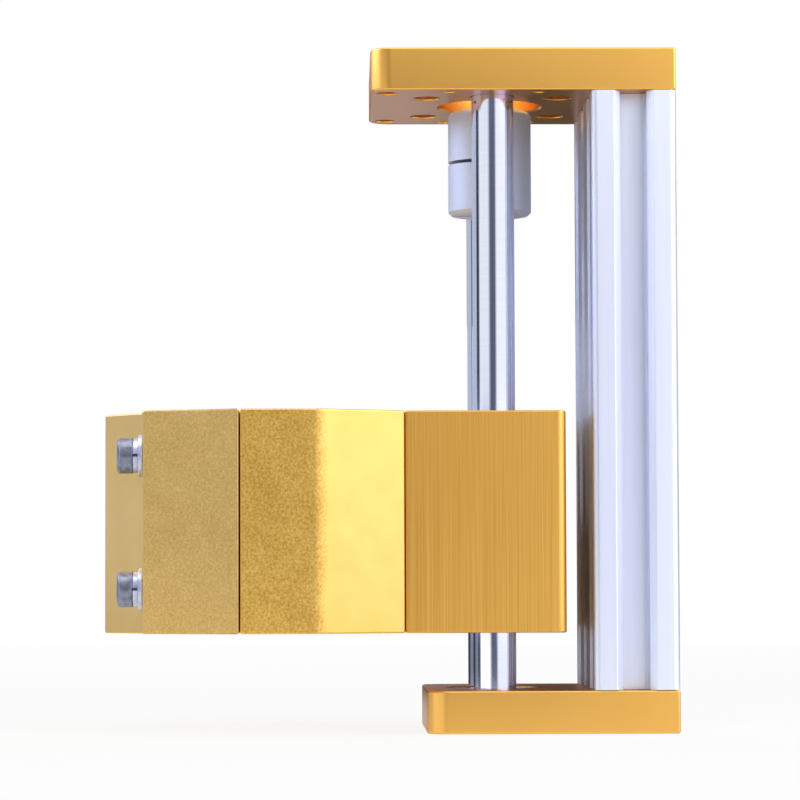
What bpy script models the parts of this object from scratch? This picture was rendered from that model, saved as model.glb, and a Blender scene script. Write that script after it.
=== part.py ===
"""Z-axis slide for a small milling machine, with its spindle clamp.

Two gold plates and a three-cell V-slot profile make the frame. A carriage rides on two ground rods
and is driven by a lead screw, which a clamp coupling joins to a stepper motor that bolts on top.
Metres, +Z up. X = Y = 0 is the lead screw's axis, Z = 0 is the underside of the bottom plate,
+Y points back to the profile and -Y points to the spindle.
"""
import math

import bmesh
import bpy
from mathutils import Matrix, Vector

MM = 0.001

# Room between pieces: faces that rest on each other, pieces that fit inside each other, and
# pieces that turn or slide in each other.
SEAT_GAP = 0.05 * MM
FIT_GAP = 0.2 * MM
RUN_GAP = 0.15 * MM

# V-slot profile: square cells side by side, each with a tapped core and four webs.
CELL = 20 * MM
CELL_COUNT = 3
PROFILE_LENGTH = 140 * MM
PROFILE_OFFSET = 22.5 * MM
PROFILE_CORNER = 1.5 * MM
SLOT_MOUTH = 9.2 * MM
SLOT_THROAT = 6.2 * MM
SLOT_LIP = 1.8 * MM
SLOT_CAVITY = 11 * MM
CORE_WIDTH = 7.8 * MM
WEB_THICKNESS = 1.5 * MM

# End plates, flush with the profile's sides and back.
TOP_PLATE_THICKNESS = 10 * MM
BOTTOM_PLATE_THICKNESS = 10 * MM
TOP_PLATE_REACH = 29 * MM
BOTTOM_PLATE_REACH = 16.2 * MM
PLATE_CORNER = 5 * MM
PLATE_CHAMFER = 0.4 * MM
MOTOR_BORE = 24.6 * MM
MOTOR_HOLE_SPACING = 31 * MM
MOTOR_HOLE = 3.4 * MM
MOTOR_HEAD_HOLE = 6.2 * MM
MOTOR_HEAD_DEPTH = 3.2 * MM
END_HOLE = 4.6 * MM
END_HOLE_SPACING = 47 * MM
END_HOLE_SETBACK = 4 * MM
SWITCH_HOLE = 2.6 * MM
SWITCH_HOLE_SPACING_X = 52 * MM
SWITCH_HOLE_SPACING_Y = 21 * MM

# Guide rods, sunk into both plates and held by a countersunk screw in each end.
ROD_DIAMETER = 10 * MM
ROD_SPACING = 36 * MM
ROD_SOCKET_DEPTH = 6.8 * MM
ROD_CHAMFER = 0.6 * MM
ROD_SCREW_SHANK = 4 * MM
ROD_SCREW_LENGTH = 12 * MM
ROD_SCREW_HEAD = 7.6 * MM
ROD_SCREW_HEAD_HEIGHT = 2.1 * MM
ROD_SCREW_SOCKET = 2.5 * MM

# Screws that hold the plates to the profile's cores.
PROFILE_SCREW_SHANK = 5 * MM
PROFILE_SCREW_LENGTH = 16 * MM
PROFILE_SCREW_HEAD = 8.5 * MM
PROFILE_SCREW_HEAD_HEIGHT = 5 * MM
PROFILE_SCREW_SOCKET = 4 * MM

# Lead screw, its lower ball bearing and its coupling.
SCREW_DIAMETER = 8 * MM
SCREW_END_CHAMFER = 0.8 * MM
BEARING_DIAMETER = 22 * MM
BEARING_WIDTH = 7 * MM
BEARING_INNER_RING = 12 * MM
BEARING_RELIEF_DEPTH = 0.8 * MM
COUPLING_DIAMETER = 20 * MM
COUPLING_LENGTH = 25 * MM
COUPLING_CHAMFER = 0.8 * MM
COUPLING_HEADROOM = 1.4 * MM
COUPLING_SLIT = 0.8 * MM
COUPLING_SLIT_PAST_AXIS = 3 * MM
COUPLING_SLOT = 1 * MM
MOTOR_SHAFT = 5 * MM
COUPLING_SCREW_OFFSET = 6.3 * MM
COUPLING_SCREW_SHANK = 2.5 * MM
COUPLING_SCREW_LENGTH = 8 * MM
COUPLING_SCREW_HEAD = 4.5 * MM
COUPLING_SCREW_HEAD_HEIGHT = 2.5 * MM
COUPLING_SCREW_SEAT = 3.4 * MM
COUPLING_SCREW_SOCKET = 2 * MM

# Carriage block and what is inside it.
CARRIAGE_REST = 23.4 * MM
CARRIAGE_HEIGHT = 51.6 * MM
CARRIAGE_WIDTH = 60 * MM
CARRIAGE_FRONT = 21.2 * MM
CARRIAGE_BACK = 16.3 * MM
CARRIAGE_CORNER = 2 * MM
EDGE_BREAK = 0.35 * MM
BUSH_DIAMETER = 17 * MM
BUSH_WALL = 1.3 * MM
BUSH_SINK = 0.6 * MM
BUSH_SPACE = 2.4 * MM
NUT_DIAMETER = 10.2 * MM
NUT_LENGTH = 15 * MM
NUT_FLANGE_WIDTH = 14 * MM
NUT_FLANGE_LENGTH = 22 * MM
NUT_FLANGE_THICKNESS = 3.5 * MM
NUT_SCREW_SPACING = 16 * MM
NUT_SCREW_SHANK = 3 * MM
NUT_SCREW_LENGTH = 9 * MM
NUT_SCREW_HEAD = 5.5 * MM
NUT_SCREW_HEAD_HEIGHT = 3 * MM
NUT_SCREW_SOCKET = 2.5 * MM

# Spindle clamp: a bracket bolted to the carriage and a cap that closes the bore.
SPINDLE_BORE = 45 * MM
CLAMP_SPLIT = 0.4 * MM
CLAMP_BACK_WALL = 15.5 * MM
CLAMP_SIDE = 13 * MM
CLAMP_FLANK_LENGTH = 18.8 * MM
CLAMP_FLANK_ROUND = 8 * MM
CAP_EAR_DEPTH = 22.7 * MM
CAP_EAR_FLAT = 10 * MM
CAP_ARCH_WALL = 10.2 * MM
CAP_ARCH_SLOPE = 11 * MM
CAP_EDGE_ROUND = 0.6 * MM
BRACKET_SCREW_SPACING = 24 * MM
BRACKET_SCREW_INSET = 12.8 * MM
BRACKET_SCREW_SHANK = 4 * MM
BRACKET_SCREW_LENGTH = 20 * MM
BRACKET_SCREW_HEAD = 7 * MM
BRACKET_SCREW_HEAD_HEIGHT = 4 * MM
BRACKET_SCREW_SEAT = 11.5 * MM
BRACKET_SCREW_SOCKET = 3 * MM
CAP_SCREW_INSET = 10.3 * MM
CAP_SCREW_WALL = 2 * MM
CAP_SCREW_SHANK = 5 * MM
CAP_SCREW_LENGTH = 36 * MM
CAP_SCREW_HEAD = 8.4 * MM
CAP_SCREW_HEAD_HEIGHT = 3.6 * MM
CAP_SCREW_SOCKET = 4 * MM
SPRING_WASHER_DIAMETER = 8 * MM
SPRING_WASHER_HEIGHT = 1.2 * MM
SPRING_WASHER_SPLIT = 9
FLAT_WASHER_DIAMETER = 9.8 * MM
FLAT_WASHER_HEIGHT = 1 * MM

# How screws are drawn: their pointed tip, broken rim and socket, as shares of shank and head.
TIP_SHARE = 1 / 8
RIM_SHARE = 1 / 8
SOCKET_SHARE = 1 / 2
COUNTERSUNK_SOCKET_SHARE = 0.7

# Roundness, in steps for a full turn, and the angle that shows as an edge.
BORE_STEPS = 48
ROD_STEPS = 24
FASTENER_STEPS = 12
ARC_STEP = math.radians(18)
SHARP_ANGLE = math.radians(28)
OVERSHOOT = 2 * MM

# Places that follow from the sizes above.
PLATE_WIDTH = CELL_COUNT * CELL
BACK = PROFILE_OFFSET + CELL
PROFILE_Y = PROFILE_OFFSET + CELL / 2
FLOOR_Z = BOTTOM_PLATE_THICKNESS
CEILING_Z = FLOOR_Z + PROFILE_LENGTH
TOP_Z = CEILING_Z + TOP_PLATE_THICKNESS
ROD_X = ROD_SPACING / 2
COUPLING_TOP = CEILING_Z - COUPLING_HEADROOM
COUPLING_BOTTOM = COUPLING_TOP - COUPLING_LENGTH
COUPLING_MIDDLE = (COUPLING_TOP + COUPLING_BOTTOM) / 2
BEARING_SEAT_Z = FLOOR_Z - BEARING_WIDTH - FIT_GAP
BRACKET_BACK_Y = -CARRIAGE_FRONT - 2 * SEAT_GAP
BORE_Y = BRACKET_BACK_Y - CLAMP_BACK_WALL - SPINDLE_BORE / 2
BRACKET_SEAT_Y = BRACKET_BACK_Y - BRACKET_SCREW_SEAT
BRACKET_SCREW_X = BRACKET_SCREW_SPACING / 2
BRACKET_SCREW_Z = CARRIAGE_HEIGHT / 2 - BRACKET_SCREW_INSET
CAP_EAR_Y = BORE_Y - CAP_EAR_DEPTH
CAP_NOSE_Y = BORE_Y - SPINDLE_BORE / 2 - CAP_ARCH_WALL
CAP_SCREW_X = SPINDLE_BORE / 2 + CAP_SCREW_WALL + CAP_SCREW_SHANK / 2
CAP_SCREW_Z = CARRIAGE_HEIGHT / 2 - CAP_SCREW_INSET
CLAMP_HALF_WIDTH = CAP_SCREW_X + CLAMP_SIDE
BUSH_LENGTH = (CARRIAGE_HEIGHT - BUSH_SPACE) / 2 - BUSH_SINK
CELL_CENTRES = [(index - (CELL_COUNT - 1) / 2) * CELL for index in range(CELL_COUNT)]


def clear_scene():
    for piece in list(bpy.data.objects):
        bpy.data.objects.remove(piece)


def linear(value):
    """One channel of a display colour from 0 to 255, as the linear value that a material takes."""
    share = value / 255
    return share / 12.92 if share <= 0.04045 else ((share + 0.055) / 1.055) ** 2.4


def make_finish(name, colour, roughness, metallic):
    finish = bpy.data.materials.new(name)
    finish.use_nodes = True
    shader = finish.node_tree.nodes["Principled BSDF"]
    shader.inputs["Base Color"].default_value = (*map(linear, colour), 1)
    shader.inputs["Roughness"].default_value = roughness
    shader.inputs["Metallic"].default_value = metallic
    return finish


def circle(radius, centre=(0, 0), steps=ROD_STEPS):
    """Points round a circle. Its flats, not its corners, face X and Y."""
    turns = [(index + 0.5) * math.tau / steps for index in range(steps)]
    return [(centre[0] + radius * math.cos(turn), centre[1] + radius * math.sin(turn)) for turn in turns]


def arc(radius, centre, start, end, step=ARC_STEP):
    count = max(2, math.ceil(abs(end - start) / step))
    turns = [start + (end - start) * index / count for index in range(count + 1)]
    return [(centre[0] + radius * math.cos(turn), centre[1] + radius * math.sin(turn)) for turn in turns]


def rounded_corner(before, corner, after, radius):
    """The arc that rounds one corner of an outline."""
    corner = Vector(corner)
    towards_before = (Vector(before) - corner).normalized()
    towards_after = (Vector(after) - corner).normalized()
    half = towards_before.angle(towards_after) / 2
    centre = corner + (towards_before + towards_after).normalized() * radius / math.sin(half)
    first = corner + towards_before * radius / math.tan(half) - centre
    last = corner + towards_after * radius / math.tan(half) - centre
    start = math.atan2(first.y, first.x)
    sweep = math.remainder(math.atan2(last.y, last.x) - start, math.tau)
    return arc(radius, centre, start, start + sweep)


def outline(corners):
    """A closed outline from corners (x, y) or, where the corner is rounded, (x, y, radius)."""
    points = []
    for index, corner in enumerate(corners):
        before = corners[index - 1][:2]
        after = corners[(index + 1) % len(corners)][:2]
        if len(corner) == 3:
            points += rounded_corner(before, corner[:2], after, corner[2])
        else:
            points.append(corner)
    return points


def mirrored(corners):
    """The outline's other half: the corners at -X, in the order that closes it."""
    return [(-corner[0], *corner[1:]) for corner in reversed(corners)]


def inset(points, distance):
    """The same outline, drawn anticlockwise, with each side moved in by the distance."""
    moved = []
    for index, point in enumerate(points):
        before = (Vector(point) - Vector(points[index - 1])).normalized()
        after = (Vector(points[(index + 1) % len(points)]) - Vector(point)).normalized()
        inward = Vector((-before.y - after.y, before.x + after.x)).normalized()
        share = inward.dot(Vector((-before.y, before.x)))
        moved.append(tuple(Vector(point) + inward * distance / share))
    return moved


def extruded(points, bottom, top, holes=(), chamfer=0.0):
    """A solid with this outline and these through holes, with its outer edges broken."""
    shape = bmesh.new()

    def ring(loop, height):
        corners = [shape.verts.new((x, y, height)) for x, y in loop]
        return corners, [shape.edges.new(pair) for pair in zip(corners, corners[1:] + corners[:1])]

    def wall(lower, upper):
        for index in range(len(lower)):
            shape.faces.new((lower[index - 1], lower[index], upper[index], upper[index - 1]))

    levels = [(points, bottom), (points, top)]
    if chamfer:
        small = inset(points, chamfer)
        levels = [(small, bottom), (points, bottom + chamfer), (points, top - chamfer), (small, top)]
    rings = [ring(*level) for level in levels]
    for lower, upper in zip(rings, rings[1:]):
        wall(lower[0], upper[0])
    caps = [list(rings[0][1]), list(rings[-1][1])]
    for hole in holes:
        lower = ring(hole, bottom)
        upper = ring(hole, top)
        wall(lower[0], upper[0])
        caps[0] += lower[1]
        caps[1] += upper[1]
    for cap in caps:
        bmesh.ops.triangle_fill(shape, use_beauty=True, edges=cap)
    bmesh.ops.recalc_face_normals(shape, faces=shape.faces)
    return shape


def spun(profile, steps, closed=True):
    """A profile of (radius, height) points, turned round the Z axis."""
    shape = bmesh.new()
    points = [shape.verts.new((radius, 0, height)) for radius, height in profile]
    ends = points[1:] + points[:1] if closed else points[1:]
    edges = [shape.edges.new(pair) for pair in zip(points, ends)]
    bmesh.ops.spin(
        shape, geom=points + edges, cent=(0, 0, 0), axis=(0, 0, 1), angle=math.tau, steps=steps, use_merge=True
    )
    bmesh.ops.remove_doubles(shape, verts=shape.verts, dist=MM / 1000)
    shape.verts.ensure_lookup_table()
    on_axis = [edge for edge in shape.edges if not edge.link_faces]
    bmesh.ops.delete(shape, geom=on_axis, context="EDGES")
    half_step = Matrix.Rotation(math.pi / steps, 4, "Z")
    bmesh.ops.transform(shape, matrix=half_step, verts=shape.verts)
    bmesh.ops.recalc_face_normals(shape, faces=shape.faces)
    return shape


def stepped(steps, around=FASTENER_STEPS):
    """A solid of round steps, each (radius, from height, to height), stacked on one axis."""
    profile = [(0, steps[0][1])]
    for radius, low, high in steps:
        profile += [(radius, low), (radius, high)]
    profile.append((0, steps[-1][2]))
    return spun(profile, around, closed=False)


def ring_solid(outer, inner, bottom, top, steps, chamfer=0.0):
    """A round sleeve, with its outer edges broken if a chamfer is given."""
    if chamfer:
        outside = [(outer - chamfer, top), (outer, top - chamfer), (outer, bottom + chamfer)]
        outside.append((outer - chamfer, bottom))
    else:
        outside = [(outer, top), (outer, bottom)]
    return spun([(inner, bottom), (inner, top)] + outside, steps)


def placed(shape, offset, along=(0, 0, 1)):
    """Turns a shape's +Z to the given direction, then moves it."""
    turn = Vector((0, 0, 1)).rotation_difference(Vector(along)).to_matrix().to_4x4()
    bmesh.ops.transform(shape, matrix=Matrix.Translation(offset) @ turn, verts=shape.verts)
    return shape


def together(shapes):
    """Several shapes that don't touch, in one mesh."""
    whole = bmesh.new()
    for shape in shapes:
        mesh = bpy.data.meshes.new("joined")
        shape.to_mesh(mesh)
        shape.free()
        whole.from_mesh(mesh)
        bpy.data.meshes.remove(mesh)
    return whole


def make_mesh(name, shape):
    mesh = bpy.data.meshes.new(name)
    shape.to_mesh(mesh)
    shape.free()
    mesh.shade_smooth()
    mesh.set_sharp_from_angle(angle=SHARP_ANGLE)
    return mesh


def add_piece(name, shape, finish, parent, location=(0, 0, 0), along=(0, 0, 1)):
    """Adds one piece. A shape that is already a mesh is shared with its copies."""
    mesh = shape if isinstance(shape, bpy.types.Mesh) else make_mesh(name, shape)
    if not mesh.materials:
        mesh.materials.append(finish)
    piece = bpy.data.objects.new(name, mesh)
    bpy.context.scene.collection.objects.link(piece)
    piece.parent = parent
    piece.location = location
    piece.rotation_euler = Vector((0, 0, 1)).rotation_difference(Vector(along)).to_euler()
    return piece


def change(piece, name, shape, operation):
    """Cuts a hidden tool shape from a piece, or joins it on."""
    tool = bpy.data.objects.new(name, make_mesh(name, shape))
    bpy.context.scene.collection.objects.link(tool)
    tool.parent = piece.parent
    tool.hide_render = True
    tool.display_type = "WIRE"
    step = piece.modifiers.new(name, "BOOLEAN")
    step.operation = operation
    step.solver = "EXACT"
    step.object = tool


def cut(piece, name, shapes):
    change(piece, name, together(shapes), "DIFFERENCE")


def add_group(name, height=0.0):
    """An empty on the lead screw's axis that carries the pieces of one moving group."""
    group = bpy.data.objects.new(name, None)
    bpy.context.scene.collection.objects.link(group)
    group.location = (0, 0, height)
    return group


def add_socket(shape, width, depth, height):
    """Closes the open rim of a screw's head with a flat top and a six-sided socket."""
    rim = [edge for edge in shape.edges if edge.is_boundary]
    points = circle(width / math.sqrt(3), steps=6)
    corners = [shape.verts.new((x, y, height)) for x, y in points]
    hexagon = [shape.edges.new(pair) for pair in zip(corners, corners[1:] + corners[:1])]
    bmesh.ops.triangle_fill(shape, use_beauty=True, edges=rim + hexagon)
    floor = [shape.verts.new((x, y, height - depth)) for x, y in points]
    for index in range(len(corners)):
        shape.faces.new((floor[index - 1], floor[index], corners[index], corners[index - 1]))
    shape.faces.new(floor)
    bmesh.ops.recalc_face_normals(shape, faces=shape.faces)


def socket_screw(name, shank, length, head, head_height, socket):
    """A socket head screw. Its head rests on Z = 0 and its shank points down."""
    shank_radius = shank / 2
    head_radius = head / 2
    tip = shank * TIP_SHARE
    rim = head_height * RIM_SHARE
    profile = [
        (0, -length), (shank_radius - tip, -length), (shank_radius, tip - length), (shank_radius, 0),
        (head_radius, 0), (head_radius, head_height - rim), (head_radius - rim, head_height),
    ]
    shape = spun(profile, FASTENER_STEPS, closed=False)
    add_socket(shape, socket, head_height * SOCKET_SHARE, head_height)
    return make_mesh(name, shape)


def countersunk_screw(name, shank, length, head, head_height, socket):
    """A countersunk screw. Its flat top lies at Z = 0 and its shank points down."""
    shank_radius = shank / 2
    tip = shank * TIP_SHARE
    profile = [
        (0, -length), (shank_radius - tip, -length), (shank_radius, tip - length),
        (shank_radius, -head_height), (head / 2, 0),
    ]
    shape = spun(profile, FASTENER_STEPS, closed=False)
    add_socket(shape, socket, head_height * COUNTERSUNK_SOCKET_SHARE, 0)
    return make_mesh(name, shape)


def slot_points(centre, surface, outward, along):
    """One V-slot of the profile, as outline points in the order in which the outline is drawn."""
    web = WEB_THICKNESS / math.sqrt(2)
    half_core = CORE_WIDTH / 2
    half = [
        (SLOT_MOUTH / 2, 0),
        (SLOT_THROAT / 2, (SLOT_MOUTH - SLOT_THROAT) / 2),
        (SLOT_THROAT / 2, SLOT_LIP),
        (SLOT_CAVITY / 2, SLOT_LIP),
        (SLOT_CAVITY / 2, CELL / 2 - SLOT_CAVITY / 2 - web),
        (half_core - web, CELL / 2 - half_core),
    ]
    both = [(-width, depth) for width, depth in half] + [(width, depth) for width, depth in reversed(half)]
    origin = Vector(along) * centre + Vector(outward) * surface
    return [tuple(origin + Vector(along) * width - Vector(outward) * depth) for width, depth in both]


def profile_outline():
    """The outside of the V-slot profile round its own centre, anticlockwise from the front left corner."""
    half_width = PLATE_WIDTH / 2
    half_depth = CELL / 2
    corners = [(-half_width, -half_depth, PROFILE_CORNER)]
    for centre in CELL_CENTRES:
        corners += slot_points(centre, half_depth, (0, -1), (1, 0))
    corners.append((half_width, -half_depth, PROFILE_CORNER))
    corners += slot_points(0, half_width, (1, 0), (0, 1))
    corners.append((half_width, half_depth, PROFILE_CORNER))
    for centre in CELL_CENTRES:
        corners += slot_points(centre, half_depth, (0, 1), (-1, 0))
    corners.append((-half_width, half_depth, PROFILE_CORNER))
    corners += slot_points(0, half_width, (-1, 0), (0, -1))
    return outline(corners)


def profile_hollow(centre):
    """The hollow between two cells, bounded by their cores, webs and outer walls."""
    web = WEB_THICKNESS / math.sqrt(2)
    core = CORE_WIDTH / 2
    wall = CELL / 2 - SLOT_LIP
    quarter = [(CELL / 2 - core, core - web), (CELL / 2 - wall - web, wall)]
    half = quarter + mirrored(quarter)
    return [(centre + x, y) for x, y in half] + [(centre + x, -y) for x, y in reversed(half)]


def add_profile(finish, frame):
    core_bore = PROFILE_SCREW_SHANK / 2 + FIT_GAP
    holes = [circle(core_bore, (centre, 0), FASTENER_STEPS) for centre in CELL_CENTRES]
    holes += [profile_hollow(centre + CELL / 2) for centre in CELL_CENTRES[:-1]]
    bottom = FLOOR_Z + SEAT_GAP
    shape = extruded(profile_outline(), bottom, CEILING_Z - SEAT_GAP, holes)
    add_piece("rear_profile", placed(shape, (0, PROFILE_Y, 0)), finish, frame)


def plate_outline(reach):
    half = PLATE_WIDTH / 2
    return outline([(-half, -reach, PLATE_CORNER), (half, -reach, PLATE_CORNER), (half, BACK), (-half, BACK)])


def rod_socket_tool(thickness):
    """Cuts a rod's blind socket from Z = 0 and its screw's countersunk hole from the far face."""
    hole = ROD_SCREW_SHANK / 2 + FIT_GAP
    head = ROD_SCREW_HEAD / 2 + FIT_GAP
    slope = (head - hole) / ROD_SCREW_HEAD_HEIGHT
    socket = ROD_DIAMETER / 2 + FIT_GAP
    profile = [
        (0, -OVERSHOOT), (socket, -OVERSHOOT), (socket, ROD_SOCKET_DEPTH), (hole, ROD_SOCKET_DEPTH),
        (hole, thickness - ROD_SCREW_HEAD_HEIGHT),
        (head + slope * OVERSHOOT, thickness + OVERSHOOT), (0, thickness + OVERSHOOT),
    ]
    return spun(profile, ROD_STEPS, closed=False)


def profile_screw_tool(thickness):
    """Cuts a stepped hole for a profile screw, whose head sinks just below the face at the thickness."""
    hole = PROFILE_SCREW_SHANK / 2 + FIT_GAP
    head = PROFILE_SCREW_HEAD / 2 + FIT_GAP
    seat = thickness - PROFILE_SCREW_HEAD_HEIGHT - FIT_GAP
    return stepped([(hole, -OVERSHOOT, seat), (head, seat, thickness + OVERSHOOT)])


def add_top_plate(finish, frame):
    front = -TOP_PLATE_REACH + END_HOLE_SETBACK
    holes = [circle(MOTOR_BORE / 2, steps=BORE_STEPS)]
    for side in (-1, 1):
        holes.append(circle(END_HOLE / 2, (side * END_HOLE_SPACING / 2, front), FASTENER_STEPS))
        for end in (-1, 1):
            centre = (side * SWITCH_HOLE_SPACING_X / 2, end * SWITCH_HOLE_SPACING_Y / 2)
            holes.append(circle(SWITCH_HOLE / 2, centre, FASTENER_STEPS))
    shape = extruded(plate_outline(TOP_PLATE_REACH), CEILING_Z, TOP_Z, holes, PLATE_CHAMFER)
    plate = add_piece("top_plate", shape, finish, frame)
    motor_seat = CEILING_Z + MOTOR_HEAD_DEPTH
    steps = [
        (MOTOR_HEAD_HOLE / 2, CEILING_Z - OVERSHOOT, motor_seat),
        (MOTOR_HOLE / 2, motor_seat, TOP_Z + OVERSHOOT),
    ]
    offset = MOTOR_HOLE_SPACING / 2
    cut(plate, "motor_holes", [
        placed(stepped(steps), (x, y, 0)) for x in (-offset, offset) for y in (-offset, offset)
    ])
    cut(plate, "top_rod_sockets", [
        placed(rod_socket_tool(TOP_PLATE_THICKNESS), (x, 0, CEILING_Z)) for x in (-ROD_X, ROD_X)
    ])
    cut(plate, "top_profile_holes", [
        placed(profile_screw_tool(TOP_PLATE_THICKNESS), (x, PROFILE_Y, CEILING_Z)) for x in CELL_CENTRES
    ])


def add_bottom_plate(finish, frame):
    shape = extruded(plate_outline(BOTTOM_PLATE_REACH), 0, FLOOR_Z, chamfer=PLATE_CHAMFER)
    plate = add_piece("bottom_plate", shape, finish, frame)
    down = (0, 0, -1)
    cut(plate, "bottom_rod_sockets", [
        placed(rod_socket_tool(BOTTOM_PLATE_THICKNESS), (x, 0, FLOOR_Z), down) for x in (-ROD_X, ROD_X)
    ])
    cut(plate, "bottom_profile_holes", [
        placed(profile_screw_tool(BOTTOM_PLATE_THICKNESS), (x, PROFILE_Y, FLOOR_Z), down) for x in CELL_CENTRES
    ])
    relief = BEARING_SEAT_Z - BEARING_RELIEF_DEPTH
    cut(plate, "bearing_pocket", [stepped([
        ((BEARING_INNER_RING + BEARING_DIAMETER) / 4, relief, BEARING_SEAT_Z),
        (BEARING_DIAMETER / 2 + FIT_GAP, BEARING_SEAT_Z, FLOOR_Z + OVERSHOOT),
    ], ROD_STEPS)])


def add_rods(finish, screw_finish, frame):
    radius = ROD_DIAMETER / 2
    bottom = FLOOR_Z - ROD_SOCKET_DEPTH + SEAT_GAP
    top = CEILING_Z + ROD_SOCKET_DEPTH - SEAT_GAP
    thread = ROD_SCREW_SHANK / 2 + FIT_GAP
    wall = BOTTOM_PLATE_THICKNESS - ROD_SOCKET_DEPTH
    depth = ROD_SCREW_LENGTH - wall + SEAT_GAP + 2 * FIT_GAP
    top_depth = ROD_SCREW_LENGTH - (TOP_PLATE_THICKNESS - ROD_SOCKET_DEPTH) + SEAT_GAP + 2 * FIT_GAP
    profile = [
        (0, bottom + depth), (thread, bottom + depth), (thread, bottom), (radius - ROD_CHAMFER, bottom),
        (radius, bottom + ROD_CHAMFER), (radius, top - ROD_CHAMFER), (radius - ROD_CHAMFER, top),
        (thread, top), (thread, top - top_depth), (0, top - top_depth),
    ]
    rod = make_mesh("guide_rod", spun(profile, ROD_STEPS, closed=False))
    screw = countersunk_screw(
        "rod_screw", ROD_SCREW_SHANK, ROD_SCREW_LENGTH, ROD_SCREW_HEAD, ROD_SCREW_HEAD_HEIGHT, ROD_SCREW_SOCKET
    )
    for side, x in (("left", -ROD_X), ("right", ROD_X)):
        add_piece(f"guide_rod_{side}", rod, finish, frame, (x, 0, 0))
        add_piece(f"rod_screw_top_{side}", screw, screw_finish, frame, (x, 0, TOP_Z - SEAT_GAP))
        add_piece(f"rod_screw_bottom_{side}", screw, screw_finish, frame, (x, 0, SEAT_GAP), (0, 0, -1))


def add_profile_screws(finish, frame):
    screw = socket_screw(
        "profile_screw", PROFILE_SCREW_SHANK, PROFILE_SCREW_LENGTH, PROFILE_SCREW_HEAD,
        PROFILE_SCREW_HEAD_HEIGHT, PROFILE_SCREW_SOCKET,
    )
    sink = PROFILE_SCREW_HEAD_HEIGHT + FIT_GAP - SEAT_GAP
    for number, x in enumerate(CELL_CENTRES, start=1):
        add_piece(f"profile_screw_top_{number}", screw, finish, frame, (x, PROFILE_Y, TOP_Z - sink))
        add_piece(f"profile_screw_bottom_{number}", screw, finish, frame, (x, PROFILE_Y, sink), (0, 0, -1))


def add_bearing(finish, frame, turning):
    """A shielded ball bearing: the outer ring carries both shields and stays, the inner ring turns."""
    bottom = BEARING_SEAT_Z + SEAT_GAP
    top = bottom + BEARING_WIDTH
    outer = ring_solid(
        BEARING_DIAMETER / 2, BEARING_INNER_RING / 2 + FIT_GAP, bottom, top, ROD_STEPS, EDGE_BREAK
    )
    add_piece("bearing_outer_ring", outer, finish, frame)
    inner = ring_solid(BEARING_INNER_RING / 2, SCREW_DIAMETER / 2 + FIT_GAP, bottom, top, ROD_STEPS)
    add_piece("bearing_inner_ring", inner, finish, turning)


def add_lead_screw(finish, turning):
    radius = SCREW_DIAMETER / 2
    bottom = BEARING_SEAT_Z - BEARING_RELIEF_DEPTH / 2
    top = COUPLING_MIDDLE - COUPLING_SLIT / 2
    profile = [
        (0, bottom), (radius - SCREW_END_CHAMFER, bottom), (radius, bottom + SCREW_END_CHAMFER),
        (radius, top - SCREW_END_CHAMFER), (radius - SCREW_END_CHAMFER, top), (0, top),
    ]
    add_piece("lead_screw", spun(profile, ROD_STEPS, closed=False), finish, turning)


def add_coupling(finish, screw_finish, turning):
    """A clamp coupling: each half has a slot and a cross screw, and a slit frees them from each other."""
    outer = COUPLING_DIAMETER / 2
    lower = SCREW_DIAMETER / 2 + FIT_GAP
    upper = MOTOR_SHAFT / 2
    profile = [
        (lower, COUPLING_BOTTOM), (lower, COUPLING_MIDDLE), (upper, COUPLING_MIDDLE), (upper, COUPLING_TOP),
        (outer - COUPLING_CHAMFER, COUPLING_TOP), (outer, COUPLING_TOP - COUPLING_CHAMFER),
        (outer, COUPLING_BOTTOM + COUPLING_CHAMFER), (outer - COUPLING_CHAMFER, COUPLING_BOTTOM),
    ]
    coupling = add_piece("coupling", spun(profile, ROD_STEPS), finish, turning)
    slot = COUPLING_SLOT / 2
    reach = outer + OVERSHOOT
    slot_box = [(-slot, -reach), (slot, -reach), (slot, 0), (-slot, 0)]
    cut(coupling, "coupling_slot", [
        extruded(slot_box, COUPLING_BOTTOM - OVERSHOOT, COUPLING_TOP + OVERSHOOT)
    ])
    slit_box = [
        (-reach, -reach), (reach, -reach), (reach, COUPLING_SLIT_PAST_AXIS), (-reach, COUPLING_SLIT_PAST_AXIS)
    ]
    slit = COUPLING_SLIT / 2
    cut(coupling, "coupling_slit", [extruded(slit_box, COUPLING_MIDDLE - slit, COUPLING_MIDDLE + slit)])
    hole = COUPLING_SCREW_SHANK / 2 + FIT_GAP
    head = COUPLING_SCREW_HEAD / 2 + FIT_GAP
    deep = COUPLING_SCREW_LENGTH + 2 * FIT_GAP
    screw = socket_screw(
        "coupling_screw", COUPLING_SCREW_SHANK, COUPLING_SCREW_LENGTH, COUPLING_SCREW_HEAD,
        COUPLING_SCREW_HEAD_HEIGHT, COUPLING_SCREW_SOCKET,
    )
    left = (-1, 0, 0)
    tools = []
    for name, sign in (("upper", 1), ("lower", -1)):
        height = COUPLING_MIDDLE + sign * COUPLING_LENGTH / 4
        seat = (-COUPLING_SCREW_SEAT, -COUPLING_SCREW_OFFSET, height)
        tools.append(placed(stepped([(hole, -deep, 0), (head, 0, outer)]), seat, left))
        place = (seat[0] - SEAT_GAP, seat[1], seat[2])
        add_piece(f"coupling_screw_{name}", screw, screw_finish, turning, place, left)
    cut(coupling, "coupling_screw_holes", tools)


def nut_flange(half_width, half_length, bottom, top, holes=()):
    """A round flange trimmed to a bar, so that it passes between the two bushes."""
    turn = math.acos(half_width / half_length)
    points = arc(half_length, (0, 0), turn, math.pi - turn)
    points += arc(half_length, (0, 0), math.pi + turn, math.tau - turn)
    return extruded(points, bottom, top, holes)


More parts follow.
